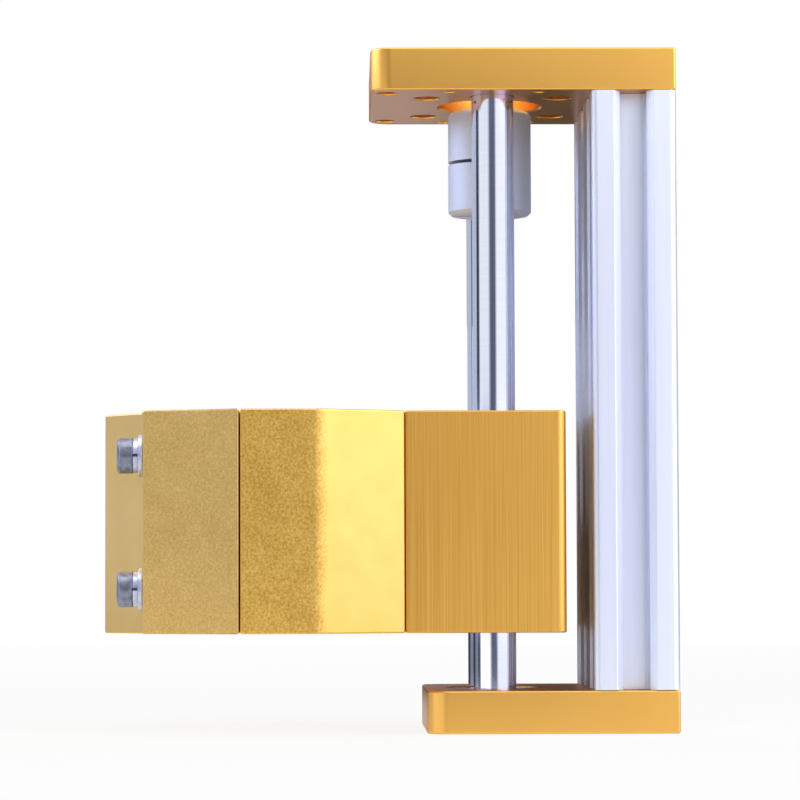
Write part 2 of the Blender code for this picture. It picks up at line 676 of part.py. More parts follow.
def add_nut(finish, screw_finish, carriage):
    """A brass nut, sunk into the top of the carriage. Heights are counted from the carriage's underside."""
    sink = CARRIAGE_HEIGHT - NUT_FLANGE_THICKNESS - NUT_SCREW_HEAD_HEIGHT - 2 * FIT_GAP
    seat = sink + SEAT_GAP
    top = seat + NUT_FLANGE_THICKNESS
    offset = NUT_SCREW_SPACING / 2
    hole = NUT_SCREW_SHANK / 2 + FIT_GAP
    holes = [circle(hole, (0, y), FASTENER_STEPS) for y in (-offset, offset)]
    shape = nut_flange(NUT_FLANGE_WIDTH / 2, NUT_FLANGE_LENGTH / 2, seat, top, holes)
    nut = add_piece("lead_nut", shape, finish, carriage)
    middle = seat + NUT_FLANGE_THICKNESS / 2
    change(nut, "nut_body", stepped([(NUT_DIAMETER / 2, seat - NUT_LENGTH, middle)], ROD_STEPS), "UNION")
    thread = SCREW_DIAMETER / 2 + FIT_GAP
    cut(nut, "nut_bore", [
        stepped([(thread, seat - NUT_LENGTH - OVERSHOOT, top + OVERSHOOT)], ROD_STEPS)
    ])
    screw = socket_screw(
        "nut_screw", NUT_SCREW_SHANK, NUT_SCREW_LENGTH, NUT_SCREW_HEAD, NUT_SCREW_HEAD_HEIGHT, NUT_SCREW_SOCKET
    )
    for side, y in (("front", -offset), ("rear", offset)):
        add_piece(f"nut_screw_{side}", screw, screw_finish, carriage, (0, y, top + SEAT_GAP))
    return sink


def clamp_screw_places():
    """Across and up from the middle of the clamp, for its four corners."""
    return [
        (f"{level}_{side}", x, z)
        for level, z in (("lower", -1), ("upper", 1))
        for side, x in (("left", -1), ("right", 1))
    ]


def add_carriage_block(finish, carriage, nut_seat):
    half = CARRIAGE_WIDTH / 2
    corners = [(-half, -CARRIAGE_FRONT), (half, -CARRIAGE_FRONT), (half, CARRIAGE_BACK), (-half, CARRIAGE_BACK)]
    radii = (EDGE_BREAK, EDGE_BREAK, CARRIAGE_CORNER, CARRIAGE_CORNER)
    shape_outline = outline([(x, y, radius) for (x, y), radius in zip(corners, radii)])
    bush = BUSH_DIAMETER / 2 + FIT_GAP
    nut = NUT_DIAMETER / 2 + FIT_GAP
    holes = [circle(bush, (-ROD_X, 0)), circle(bush, (ROD_X, 0)), circle(nut)]
    shape = extruded(shape_outline, 0, CARRIAGE_HEIGHT, holes, EDGE_BREAK)
    block = add_piece("carriage_block", shape, finish, carriage)
    half_width = NUT_FLANGE_WIDTH / 2 + FIT_GAP
    half_length = NUT_FLANGE_LENGTH / 2 + FIT_GAP
    cut(block, "nut_recess", [nut_flange(half_width, half_length, nut_seat, CARRIAGE_HEIGHT + OVERSHOOT)])
    hole = NUT_SCREW_SHANK / 2 + FIT_GAP
    floor = nut_seat - NUT_SCREW_LENGTH
    cut(block, "nut_screw_threads", [
        placed(stepped([(hole, floor, nut_seat + OVERSHOOT)]), (0, side * NUT_SCREW_SPACING / 2, 0))
        for side in (-1, 1)
    ])
    depth = BRACKET_SCREW_LENGTH - BRACKET_SCREW_SEAT + 2 * FIT_GAP
    thread = BRACKET_SCREW_SHANK / 2 + FIT_GAP
    cut(block, "bracket_threads", [
        placed(
            stepped([(thread, -OVERSHOOT, depth)]),
            (x * BRACKET_SCREW_X, -CARRIAGE_FRONT, CARRIAGE_HEIGHT / 2 + z * BRACKET_SCREW_Z),
            (0, 1, 0),
        )
        for _, x, z in clamp_screw_places()
    ])


def add_bushes(sleeve_finish, retainer_finish, carriage):
    """Linear ball bushes, one at each end of both bores: a steel sleeve round a ball retainer."""
    outer = BUSH_DIAMETER / 2
    inner = outer - BUSH_WALL
    sleeve = make_mesh("bush_sleeve", ring_solid(outer, inner, 0, BUSH_LENGTH, ROD_STEPS, EDGE_BREAK))
    retainer = make_mesh("bush_retainer", ring_solid(
        inner - FIT_GAP, ROD_DIAMETER / 2 + RUN_GAP, FIT_GAP, BUSH_LENGTH - FIT_GAP, ROD_STEPS
    ))
    levels = {"lower": BUSH_SINK, "upper": CARRIAGE_HEIGHT - BUSH_SINK - BUSH_LENGTH}
    for level, height in levels.items():
        for side, x in (("left", -ROD_X), ("right", ROD_X)):
            add_piece(f"bush_sleeve_{level}_{side}", sleeve, sleeve_finish, carriage, (x, 0, height))
            add_piece(f"bush_retainer_{level}_{side}", retainer, retainer_finish, carriage, (x, 0, height))


def half_bore(front):
    """The half of the spindle bore in front of the split or behind it, as points of an outline."""
    radius = SPINDLE_BORE / 2
    lift = math.asin(CLAMP_SPLIT / 2 / radius)
    step = math.tau / BORE_STEPS
    if front:
        return arc(radius, (0, BORE_Y), -lift, lift - math.pi, step)
    return arc(radius, (0, BORE_Y), math.pi - lift, lift, step)


def add_bracket(finish, screw_finish, carriage):
    right = [
        (CLAMP_HALF_WIDTH, BORE_Y + CLAMP_SPLIT / 2, CAP_EDGE_ROUND),
        (CLAMP_HALF_WIDTH, BORE_Y + CLAMP_FLANK_LENGTH, CLAMP_FLANK_ROUND),
        (CARRIAGE_WIDTH / 2, BRACKET_BACK_Y, EDGE_BREAK),
    ]
    points = outline(right + mirrored(right) + half_bore(False))
    shape = extruded(points, 0, CARRIAGE_HEIGHT, chamfer=EDGE_BREAK)
    bracket = add_piece("spindle_bracket", shape, finish, carriage)
    hole = BRACKET_SCREW_SHANK / 2 + FIT_GAP
    head = BRACKET_SCREW_HEAD / 2 + FIT_GAP
    thread = CAP_SCREW_SHANK / 2 + FIT_GAP
    grip = CAP_EAR_DEPTH + SPRING_WASHER_HEIGHT + FLAT_WASHER_HEIGHT
    depth = CAP_SCREW_LENGTH - grip + CAP_SCREW_SHANK / 2
    screw = socket_screw(
        "bracket_screw", BRACKET_SCREW_SHANK, BRACKET_SCREW_LENGTH, BRACKET_SCREW_HEAD,
        BRACKET_SCREW_HEAD_HEIGHT, BRACKET_SCREW_SOCKET,
    )
    front = (0, -1, 0)
    middle = CARRIAGE_HEIGHT / 2
    screw_tools = []
    thread_tools = []
    for name, x, z in clamp_screw_places():
        place = (x * BRACKET_SCREW_X, BRACKET_SEAT_Y, middle + z * BRACKET_SCREW_Z)
        steps = [(hole, -BRACKET_SCREW_SEAT - OVERSHOOT, 0), (head, 0, BRACKET_SEAT_Y - BORE_Y)]
        screw_tools.append(placed(stepped(steps), place, front))
        seat = (place[0], place[1] - SEAT_GAP, place[2])
        add_piece(f"bracket_screw_{name}", screw, screw_finish, carriage, seat, front)
        corner = (x * CAP_SCREW_X, BORE_Y, middle + z * CAP_SCREW_Z)
        thread_tools.append(placed(stepped([(thread, -OVERSHOOT, depth)]), corner, (0, 1, 0)))
    cut(bracket, "bracket_screw_holes", screw_tools)
    cut(bracket, "cap_screw_threads", thread_tools)


def add_cap(finish, carriage):
    arch = CAP_SCREW_X - CAP_EAR_FLAT / 2
    left = [
        (-CLAMP_HALF_WIDTH, BORE_Y - CLAMP_SPLIT / 2, CAP_EDGE_ROUND),
        (-CAP_SCREW_X - CAP_EAR_FLAT / 2, CAP_EAR_Y, CAP_EDGE_ROUND),
        (-arch, CAP_EAR_Y, CAP_EDGE_ROUND),
        (CAP_ARCH_SLOPE - arch, CAP_NOSE_Y, CAP_EDGE_ROUND),
    ]
    points = outline(half_bore(True) + left + mirrored(left))
    cap = add_piece("clamp_cap", extruded(points, 0, CARRIAGE_HEIGHT, chamfer=EDGE_BREAK), finish, carriage)
    hole = CAP_SCREW_SHANK / 2 + FIT_GAP
    cut(cap, "cap_screw_holes", [
        placed(
            stepped([(hole, -CAP_EAR_DEPTH - OVERSHOOT, OVERSHOOT)]),
            (x * CAP_SCREW_X, CAP_EAR_Y, CARRIAGE_HEIGHT / 2 + z * CAP_SCREW_Z),
            (0, -1, 0),
        )
        for _, x, z in clamp_screw_places()
    ])


def spring_washer():
    """A split ring of square section. Its gap faces +X."""
    inner = CAP_SCREW_SHANK / 2 + FIT_GAP
    outer = SPRING_WASHER_DIAMETER / 2
    shape = bmesh.new()
    section = [(inner, 0), (outer, 0), (outer, SPRING_WASHER_HEIGHT), (inner, SPRING_WASHER_HEIGHT)]
    face = shape.faces.new([shape.verts.new((radius, 0, height)) for radius, height in section])
    gap = math.radians(SPRING_WASHER_SPLIT)
    bmesh.ops.spin(
        shape, geom=[face], cent=(0, 0, 0), axis=(0, 0, 1), angle=math.tau - gap, steps=FASTENER_STEPS
    )
    bmesh.ops.recalc_face_normals(shape, faces=shape.faces)
    return make_mesh("spring_washer", shape)


def add_cap_fasteners(finish, washer_finish, carriage):
    screw = socket_screw(
        "cap_screw", CAP_SCREW_SHANK, CAP_SCREW_LENGTH, CAP_SCREW_HEAD, CAP_SCREW_HEAD_HEIGHT, CAP_SCREW_SOCKET
    )
    flat = make_mesh("flat_washer", ring_solid(
        FLAT_WASHER_DIAMETER / 2, CAP_SCREW_SHANK / 2 + FIT_GAP, 0, FLAT_WASHER_HEIGHT, FASTENER_STEPS
    ))
    spring = spring_washer()
    front = (0, -1, 0)
    stack = (
        ("flat_washer", flat, washer_finish, SEAT_GAP),
        ("spring_washer", spring, washer_finish, FLAT_WASHER_HEIGHT + 2 * SEAT_GAP),
        ("cap_screw", screw, finish, FLAT_WASHER_HEIGHT + SPRING_WASHER_HEIGHT + 3 * SEAT_GAP),
    )
    for name, x, z in clamp_screw_places():
        height = CARRIAGE_HEIGHT / 2 + z * CAP_SCREW_Z
        for kind, mesh, kind_finish, lift in stack:
            place = (x * CAP_SCREW_X, CAP_EAR_Y - lift, height)
            add_piece(f"{kind}_{name}", mesh, kind_finish, carriage, place, front)


def build():
    clear_scene()
    gold = make_finish("gold_anodised", (214, 164, 78), 0.38, 1.0)
    blasted = make_finish("gold_blasted", (205, 168, 92), 0.5, 1.0)
    mill = make_finish("clear_anodised", (226, 229, 240), 0.45, 0.9)
    ground = make_finish("ground_steel", (214, 218, 228), 0.12, 1.0)
    thread = make_finish("rolled_steel", (160, 163, 172), 0.3, 1.0)
    grey = make_finish("matt_aluminium", (183, 187, 202), 0.5, 0.8)
    brass = make_finish("brass", (201, 160, 84), 0.3, 1.0)
    zinc = make_finish("zinc_steel", (168, 171, 184), 0.32, 1.0)
    polymer = make_finish("black_polymer", (32, 32, 34), 0.6, 0.0)

    frame = add_group("frame")
    turning = add_group("turning")
    carriage = add_group("carriage", CARRIAGE_REST)

    add_top_plate(gold, frame)
    add_bottom_plate(gold, frame)
    add_profile(mill, frame)
    add_rods(ground, zinc, frame)
    add_profile_screws(zinc, frame)
    add_bearing(ground, frame, turning)
    add_lead_screw(thread, turning)
    add_coupling(grey, zinc, turning)

    nut_seat = add_nut(brass, zinc, carriage)
    add_carriage_block(gold, carriage, nut_seat)
    add_bushes(ground, polymer, carriage)
    add_bracket(blasted, zinc, carriage)
    add_cap(blasted, carriage)
    add_cap_fasteners(zinc, zinc, carriage)


build()
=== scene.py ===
# %% [markdown]
# # Dressing a screw-driven Z slide
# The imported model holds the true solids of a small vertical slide: two end plates, a slotted profile,
# two guide rods, a lead screw, a carriage and a split spindle clamp. This lesson gives every one of them
# its real surface. It starts by loading that model as a fixed frame and by measuring its box, because
# all that follows is placed from what the frame says.

# %% Load the model and measure it
import math
from collections import namedtuple

import bmesh
import bpy
from mathutils import Matrix, Vector


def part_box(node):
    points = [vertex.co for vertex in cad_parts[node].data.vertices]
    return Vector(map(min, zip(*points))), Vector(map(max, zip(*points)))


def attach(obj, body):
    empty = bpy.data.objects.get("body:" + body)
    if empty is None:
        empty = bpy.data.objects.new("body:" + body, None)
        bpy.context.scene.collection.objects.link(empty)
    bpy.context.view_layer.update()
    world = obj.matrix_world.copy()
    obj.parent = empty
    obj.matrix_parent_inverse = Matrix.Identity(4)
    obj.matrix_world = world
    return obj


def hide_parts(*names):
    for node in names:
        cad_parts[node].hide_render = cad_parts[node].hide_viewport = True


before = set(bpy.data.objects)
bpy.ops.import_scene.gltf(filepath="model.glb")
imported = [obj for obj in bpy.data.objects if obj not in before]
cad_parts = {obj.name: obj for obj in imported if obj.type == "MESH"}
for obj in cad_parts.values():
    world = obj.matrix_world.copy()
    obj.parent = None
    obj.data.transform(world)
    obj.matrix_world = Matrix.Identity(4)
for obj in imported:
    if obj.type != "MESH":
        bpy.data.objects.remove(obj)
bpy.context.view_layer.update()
scene = bpy.context.scene

# %% [markdown]
# ## Camera
# The picture was taken square to the side of the slide with a long lens, a little above its foot, so
# the underside of the top plate shows and the bottom plate's top is a thin line. The place and the
# three small angles were worked out by matching corners of the plates, clamp and profile. They could
# be set by eye with a track constraint, but a matrix from named angles says exactly where it stands.

# %% Place the camera
PICTURE_SIZE = 800
FOCAL_PIXELS = 3386.8
SENSOR_WIDTH = 36.0
CAMERA_PLACE = Vector((0.8153, -0.0346, 0.0338))
CAMERA_YAW = 0.01565
CAMERA_PITCH = 0.05549
CAMERA_ROLL = -0.00309
NEAREST_SEEN = 0.05

look = Vector((
    -math.cos(CAMERA_YAW) * math.cos(CAMERA_PITCH),
    math.sin(CAMERA_YAW) * math.cos(CAMERA_PITCH),
    math.sin(CAMERA_PITCH),
))
level = Vector((math.sin(CAMERA_YAW), math.cos(CAMERA_YAW), 0))
plumb = level.cross(look)
right = level * math.cos(CAMERA_ROLL) + plumb * math.sin(CAMERA_ROLL)
up = plumb * math.cos(CAMERA_ROLL) - level * math.sin(CAMERA_ROLL)
lens = bpy.data.cameras.new("camera")
lens.sensor_width = SENSOR_WIDTH
lens.lens = FOCAL_PIXELS * SENSOR_WIDTH / PICTURE_SIZE
lens.clip_start = NEAREST_SEEN
camera = bpy.data.objects.new("camera", lens)
scene.collection.objects.link(camera)
turn = Matrix((right, up, -look)).transposed().to_4x4()
camera.matrix_world = Matrix.Translation(CAMERA_PLACE) @ turn
scene.camera = camera
scene.view_settings.view_transform = "Standard"
print("lens", round(lens.lens, 1), "mm")

# %% [markdown]
# ## White studio
# Metal looks like what surrounds it, so a studio for metal is mostly a white room with a few soft boxes
# and a few dark cards. The world is white for the camera and for reflections and dimmer as a lamp, so
# nothing burns out. A rule like that is a small tree of nodes. One helper adds a node and feeds it, so
# that each step of a tree reads as one line. It is used for every world, material and shape here.

# %% A helper for nodes, and the world
FILL_LIGHT = 0.42


def add_node(tree, kind, feeds=(), out=0, **settings):
    """Adds a node, feeds its inputs in order, or by name from a dict, and gives one of its outputs."""
    node = tree.nodes.new(kind)
    for key, value in settings.items():
        setattr(node, key, value)
    if isinstance(feeds, dict):
        pairs = [(node.inputs[name], value) for name, value in feeds.items()]
    else:
        pairs = zip([socket for socket in node.inputs if socket.enabled], feeds)
    for socket, value in pairs:
        if isinstance(value, bpy.types.NodeSocket):
            tree.links.new(value, socket)
        elif value is not None:
            socket.default_value = value
    return node.outputs[out]


def calculate(tree, operation, *values):
    """One step of arithmetic with sockets and numbers."""
    return add_node(tree, "ShaderNodeMath", values, operation=operation)


def between(tree, mask, low, high, start=0, end=1):
    """Turns a mask that runs from start to end into values from low to high."""
    return add_node(tree, "ShaderNodeMapRange", (mask, start, end, low, high))


def seen_directly(tree):
    """One for rays from the camera, a mirror or glass, and nought for the others."""
    rays = add_node(tree, "ShaderNodeLightPath").node.outputs
    total = rays["Is Camera Ray"]
    for name in ("Is Glossy Ray", "Is Transmission Ray"):
        total = calculate(tree, "MAXIMUM", total, rays[name])
    return total


world = bpy.data.worlds.new("white_room")
world.use_nodes = True
scene.world = world
sky = world.node_tree
background = sky.nodes["Background"].inputs
background["Color"].default_value = (1, 1, 1, 1)
sky.links.new(between(sky, seen_directly(sky), FILL_LIGHT, 1), background["Strength"])
print("the world is 1 to look at and", FILL_LIGHT, "as a lamp")

# %% [markdown]
# ## Floor and soft boxes
# The floor is a pale sheet. It keeps a faint shadow near the slide and fades to white far from it: its
# shader mixes matt paper with a plain glow, and the glow's share grows with the distance. A sheet that is
# bent up at the back would do the same, but it would show as a grey band in the mirror of the rods.

# %% The floor
FLOOR_HALF = 3.0
FLOOR_GLOW = 0.88
FLOOR_FADE = (0.25, 1.4)
PAPER_TONE = (0.9, 0.9, 0.9, 1)


def bare_material(name):
    """A material without a shader, and its tree."""
    material = bpy.data.materials.new(name)
    material.use_nodes = True
    tree = material.node_tree
    tree.nodes.remove(tree.nodes["Principled BSDF"])
    return material, tree


def show(tree, shader):
    """Makes this shader what the material shows."""
    tree.links.new(shader, tree.nodes["Material Output"].inputs["Surface"])


def stage_panel(name, points, faces, material):
    """A thing that belongs to the studio and not to the slide."""
    mesh = bpy.data.meshes.new(name)
    mesh.from_pydata(points, [], faces)
    mesh.materials.append(material)
    panel = bpy.data.objects.new(name, mesh)
    scene.collection.objects.link(panel)
    return panel


paper, sheet = bare_material("pale_paper")
matt = add_node(sheet, "ShaderNodeBsdfDiffuse", [PAPER_TONE])
glow = add_node(sheet, "ShaderNodeEmission")
place = add_node(sheet, "ShaderNodeTexCoord", out="Object")
distance = add_node(sheet, "ShaderNodeVectorMath", [place], "Value", operation="LENGTH")
fade = between(sheet, distance, FLOOR_GLOW, 1, *FLOOR_FADE)
share = calculate(sheet, "MULTIPLY", seen_directly(sheet), fade)
show(sheet, add_node(sheet, "ShaderNodeMixShader", (share, matt, glow)))
floor_corners = [(x * FLOOR_HALF, y * FLOOR_HALF, 0) for x, y in ((-1, -1), (1, -1), (1, 1), (-1, 1))]
stage_panel("floor", floor_corners, [(0, 1, 2, 3)], paper)
print("floor", 2 * FLOOR_HALF, "m wide")

# %% Soft boxes
AIM = Vector((0, -0.02, 0.08))
# Each box: place, width, height and radiance. Radiance 1 is as bright as the white room.
SOFT_BOXES = {
    "front_box": ((0.85, 0.12, 0.55), 1.0, 0.4, 1.1),
    "right_box": ((0.56, 0.80, 0.45), 0.9, 0.6, 3.2),
    "left_box": ((0.50, -0.80, 0.50), 0.6, 0.5, 0.6),
    "top_box": ((0.15, -0.1, 1.0), 0.7, 0.7, 1.3),
    "back_box": ((-0.8, -0.3, 0.5), 0.5, 0.6, 1.4),
}


def softbox(name, place, width, height, radiance):
    """A rectangular lamp that looks at the slide."""
    lamp = bpy.data.lights.new(name, "AREA")
    lamp.shape = "RECTANGLE"
    lamp.size = width
    lamp.size_y = height
    lamp.energy = radiance * math.pi * width * height
    box = bpy.data.objects.new(name, lamp)
    scene.collection.objects.link(box)
    box.location = place
    box.rotation_euler = (AIM - Vector(place)).to_track_quat("-Z", "Y").to_euler()


for box_name, sizes in SOFT_BOXES.items():
    softbox(box_name, *sizes)
print("soft boxes", list(SOFT_BOXES))

# %% [markdown]
# ## Cards that only reflections see
# A polished rod is a round mirror: it shows the whole room, squeezed into thin upright lines. So a
# photographer stands pale and dark boards round it. Here the boards are rings that only reflections see,
# which light nothing and hide nothing. Their tones are written down by bearing and run smoothly from
# one to the next. Plates, rods and clamp mirror different heights, so each height has its own ring.

# %% Tones of the cards
DARK = (0.05, 0.055, 0.08)
WARM_DARK = (0.14, 0.13, 0.08)
ROOM = (0.12, 0.135, 0.2)
COOL_DARK = (0.12, 0.19, 0.55)
DIM = (0.2, 0.2, 0.25)
GREY = (0.24, 0.25, 0.31)
SHADE = (0.3, 0.3, 0.35)
DUSK = (0.34, 0.37, 0.5)
MIST = (0.5, 0.5, 0.6)
BLUE_GREY = (0.56, 0.59, 0.72)
PALE_GREY = (0.6, 0.6, 0.65)
OFF_WHITE = (0.85, 0.85, 0.85)
PAPER_WHITE = (0.9, 0.9, 0.9)
PALE_BLUE = (0.9, 1.08, 1.28)
WHITE = (0.98, 1.0, 1.04)
HAZE = (1.0, 1.0, 1.2)
BRIGHT = (1.08, 1.08, 1.1)
BRIGHT_BLUE = (1.08, 1.1, 1.35)
LAMP_BLUE = (1.06, 1.28, 2.2)
LIGHT = (1.2, 1.2, 1.2)
LIGHT_BLUE = (1.2, 1.2, 1.3)
WINDOW = (1.5, 1.5, 1.55)
LAMP = (1.7, 1.75, 4.3)
LEFT_FLASH = (3.5, 3.8, 5.2)
RIGHT_FLASH = (5.5, 5.5, 6.0)

# Bearings run in degrees from the camera's side towards the profile.
FOOT_TONES = (
    (-180, GREY), (-106, GREY), (-101, DARK), (-86, DARK), (-78, WINDOW), (-30, WINDOW), (-17, ROOM),
    (6, ROOM), (16, BRIGHT), (77, BRIGHT), (83, DUSK), (117, DUSK), (123, DARK), (180, DARK),
)
CLAMP_TONES = (
    (-180, BLUE_GREY), (-125, BLUE_GREY), (-112, LAMP_BLUE), (-80, LAMP_BLUE), (-66, DUSK),
    (-58, COOL_DARK), (-22, COOL_DARK), (-12, WARM_DARK), (2, WARM_DARK), (12, BRIGHT_BLUE), (38, LAMP),
    (75, LAMP), (90, DUSK), (123, DARK), (176, DARK), (180, BLUE_GREY),
)
ROD_TONES = (
    (-180, DARK), (-168, DARK), (-160, BLUE_GREY), (-106, BLUE_GREY), (-101, DARK), (-86, DARK),
    (-78, WHITE), (-30, WHITE), (-17, ROOM), (6, ROOM), (16, BRIGHT), (77, BRIGHT), (83, DUSK),
    (117, DUSK), (123, DARK), (180, DARK),
)
UPPER_TONES = (
    (-180, MIST), (-135, HAZE), (-115, LEFT_FLASH), (-88, LEFT_FLASH), (-65, PALE_GREY), (-50, DIM),
    (-25, DIM), (-8, OFF_WHITE), (10, PAPER_WHITE), (28, LIGHT), (42, RIGHT_FLASH), (72, RIGHT_FLASH),
    (95, LIGHT_BLUE), (130, MIST), (180, SHADE),
)
BACK_TONES = ((150, DARK), (176, DARK), (183, PALE_BLUE), (200, PALE_BLUE))
LOW_BACK_TONES = ((130, DARK), (230, DARK))
print("tones on each tall ring:", len(FOOT_TONES), len(CLAMP_TONES), len(ROD_TONES), len(UPPER_TONES))

# %% Rings of card
RING_STEPS = 120
# Each ring: radius, lower and upper edge, and tones.
CARD_RINGS = {
    "foot_ring": (0.3, 0, 0.022, FOOT_TONES),
    "clamp_ring": (0.5, 0, 0.096, CLAMP_TONES),
    "rod_ring": (0.5, 0.096, 0.235, ROD_TONES),
    "upper_ring": (0.5, 0.235, 0.75, UPPER_TONES),
    "back_ring": (0.24, 0.055, 0.115, BACK_TONES),
    "low_back_ring": (0.24, 0, 0.055, LOW_BACK_TONES),
}


def ring_paint(name, tones):
    """A glow whose tone runs smoothly round the ring, from the first bearing to the last."""
    first, last = tones[0][0], tones[-1][0]
    paint, tree = bare_material(name)
    around = add_node(tree, "ShaderNodeSeparateXYZ", [add_node(tree, "ShaderNodeUVMap")])
    ramp = add_node(tree, "ShaderNodeValToRGB", [around])
    stops = ramp.node.color_ramp.elements
    for bearing, tone in tones[1:-1]:
        stops.new((bearing - first) / (last - first)).color = (*tone, 1)
    stops[0].color = (*tones[0][1], 1)
    stops[-1].color = (*tones[-1][1], 1)
    show(tree, add_node(tree, "ShaderNodeEmission", [ramp]))
    return paint


def card_ring(name, radius, low, high, tones):
    """An upright ring of card, or a part of one, that only reflections see."""
    first, last = tones[0][0], tones[-1][0]
    points = []
    for step in range(RING_STEPS + 1):
        bearing = math.radians(first + (last - first) * step / RING_STEPS)
        spot = (radius * math.cos(bearing), radius * math.sin(bearing))
        points += [(*spot, low), (*spot, high)]
    faces = [(at, at + 2, at + 3, at + 1) for at in range(0, 2 * RING_STEPS, 2)]
    ring = stage_panel(name, points, faces, ring_paint(name, tones))
    layer = ring.data.uv_layers.new(name="around")
    for loop in ring.data.loops:
        layer.data[loop.index].uv = (loop.vertex_index // 2 / RING_STEPS, loop.vertex_index % 2)
    ring.visible_camera = False
    ring.visible_diffuse = False
    ring.visible_shadow = False
    ring.visible_transmission = False


for ring_name, sizes in CARD_RINGS.items():
    card_ring(ring_name, *sizes)
print("rings of card", list(CARD_RINGS))

# %% [markdown]
# ## Finishes
# Anodised, blasted, brushed and ground metal differ in three things only: how the colour drifts, how
# rough the surface is and which way its fine marks run. So one small helper builds them all. It starts
# with a plain shader and adds layers: a noise, stretched along the marks, that tints the colour, changes
# the roughness and raises a bump of some thousandths of a millimetre. Grain sizes are real sizes.

# %% The finish helper
MM = 0.001


def display(red, green, blue):
    """A colour as a screen shows it, from 0 to 255, as the linear values that a shader takes."""
    channels = []
    for value in (red, green, blue):
        part = value / 255
        channels.append(part / 12.92 if part <= 0.04045 else ((part + 0.055) / 1.055) ** 2.4)
    return (*channels, 1)


class Finish:
    """A material that is built up in layers."""

    def __init__(self, name, colour, metallic, roughness, **constants):
        self.material = bpy.data.materials.new(name)
        self.material.use_nodes = True
        self.tree = self.material.node_tree
        self.skin = self.tree.nodes["Principled BSDF"].inputs
        constants.update({"Base Color": display(*colour), "Metallic": metallic, "Roughness": roughness})
        for socket, value in constants.items():
            self.skin[socket].default_value = value

    def noise(self, grain, stretch=(1, 1, 1), detail=2, keep=0.5):
        """A noise whose grains have this size in metres, drawn out along an axis by its stretch."""
        place = add_node(self.tree, "ShaderNodeTexCoord", out="Object")
        scale = [1 / grain / drawn for drawn in stretch]
        place = add_node(self.tree, "ShaderNodeMapping", {"Vector": place, "Scale": scale})
        feeds = {"Vector": place, "Scale": 1, "Detail": detail, "Roughness": keep}
        return add_node(self.tree, "ShaderNodeTexNoise", feeds, "Fac")

    def facing(self, axis):
        """One where the surface looks along this axis, and nought where it looks across it."""
        normal = add_node(self.tree, "ShaderNodeNewGeometry", out="Normal")
        return calculate(self.tree, "ABSOLUTE", add_node(self.tree, "ShaderNodeSeparateXYZ", [normal], axis))

    def choose(self, mask, low, high):
        """Takes one pattern where the mask is nought and the other where it is one. A number mixes them."""
        return add_node(self.tree, "ShaderNodeMix", (mask, low, high))

    def tint(self, mask, dark, light, low=0.3, high=0.7):
        """Colours the surface from dark to light by the mask."""
        ramp = add_node(self.tree, "ShaderNodeValToRGB", [mask])
        for stop, at, colour in zip(ramp.node.color_ramp.elements, (low, high), (dark, light)):
            stop.position = at
            stop.color = display(*colour)
        self.tree.links.new(ramp, self.skin["Base Color"])

    def gloss(self, mask, smooth, rough):
        """Varies the roughness by the mask."""
        self.tree.links.new(between(self.tree, mask, smooth, rough), self.skin["Roughness"])

    def emboss(self, mask, height, strength):
        """Raises the mask as a relief of this height."""
        feeds = {"Strength": strength, "Distance": height, "Height": mask}
        self.tree.links.new(add_node(self.tree, "ShaderNodeBump", feeds), self.skin["Normal"])


def grained(name, colour, metallic, roughness, grain, tints, gloss, relief=(), **constants):
    """A finish with one grain, which its colour, its roughness and its relief all follow."""
    finish = Finish(name, colour, metallic, roughness, **constants)
    lines = finish.noise(*grain)
    finish.tint(lines, *tints)
    finish.gloss(lines, *gloss)
    if relief:
        finish.emboss(lines, *relief)
    return finish.material


print("a middle grey of 128 is", round(display(128, 128, 128)[0], 3), "to a shader")

# %% [markdown]
# ## Gold finishes
# All the gold is one dye in anodised aluminium, over three ways of preparing the metal. The plates were
# tumbled to a satin skin. The carriage was brushed from top to bottom before it was dyed. The clamp was
# blasted with coarse beads, so it glitters, and its front half is given a paler, bluer gold than its rear
# half. Painting them as one gold would lose what tells them apart.

# %% Gold finishes
# How far a face leans to the front or back when beads begin to glance off it, and when all of them do.
BEADS_GLANCE = (0.2985, 0.4478)


def satin_gold():
    """Satin skin of the end plates, with a faint drift in the dye."""
    finish = Finish("satin_gold", (248, 190, 93), 1, 0.3, **{"Specular Tint": (0.6, 0.54, 0.7, 1)})
    drift = finish.noise(24 * MM)
    skin = finish.noise(0.3 * MM, detail=4)
    finish.tint(finish.choose(finish.noise(6 * MM), drift, skin), (245, 187, 90), (251, 193, 97))
    finish.gloss(skin, 0.27, 0.33)
    finish.emboss(skin, 0.006 * MM, 0.4)
    return finish.material


def brushed_gold():
    """Brushed skin of the carriage: lines up and down its sides, and across its top and bottom."""
    finish = Finish("brushed_gold", (227, 172, 79), 1, 0.42, **{"Specular Tint": (0.8, 0.7, 0.7, 1)})
    sides = finish.noise(0.3 * MM, (1, 1, 220), 5)
    ends = finish.noise(0.3 * MM, (220, 1, 1), 5)
    lines = finish.choose(finish.facing("Z"), sides, ends)
    finish.tint(lines, (216, 161, 69), (236, 184, 90))
    finish.gloss(lines, 0.4, 0.45)
    finish.emboss(lines, 0.012 * MM, 0.5)
    return finish.material


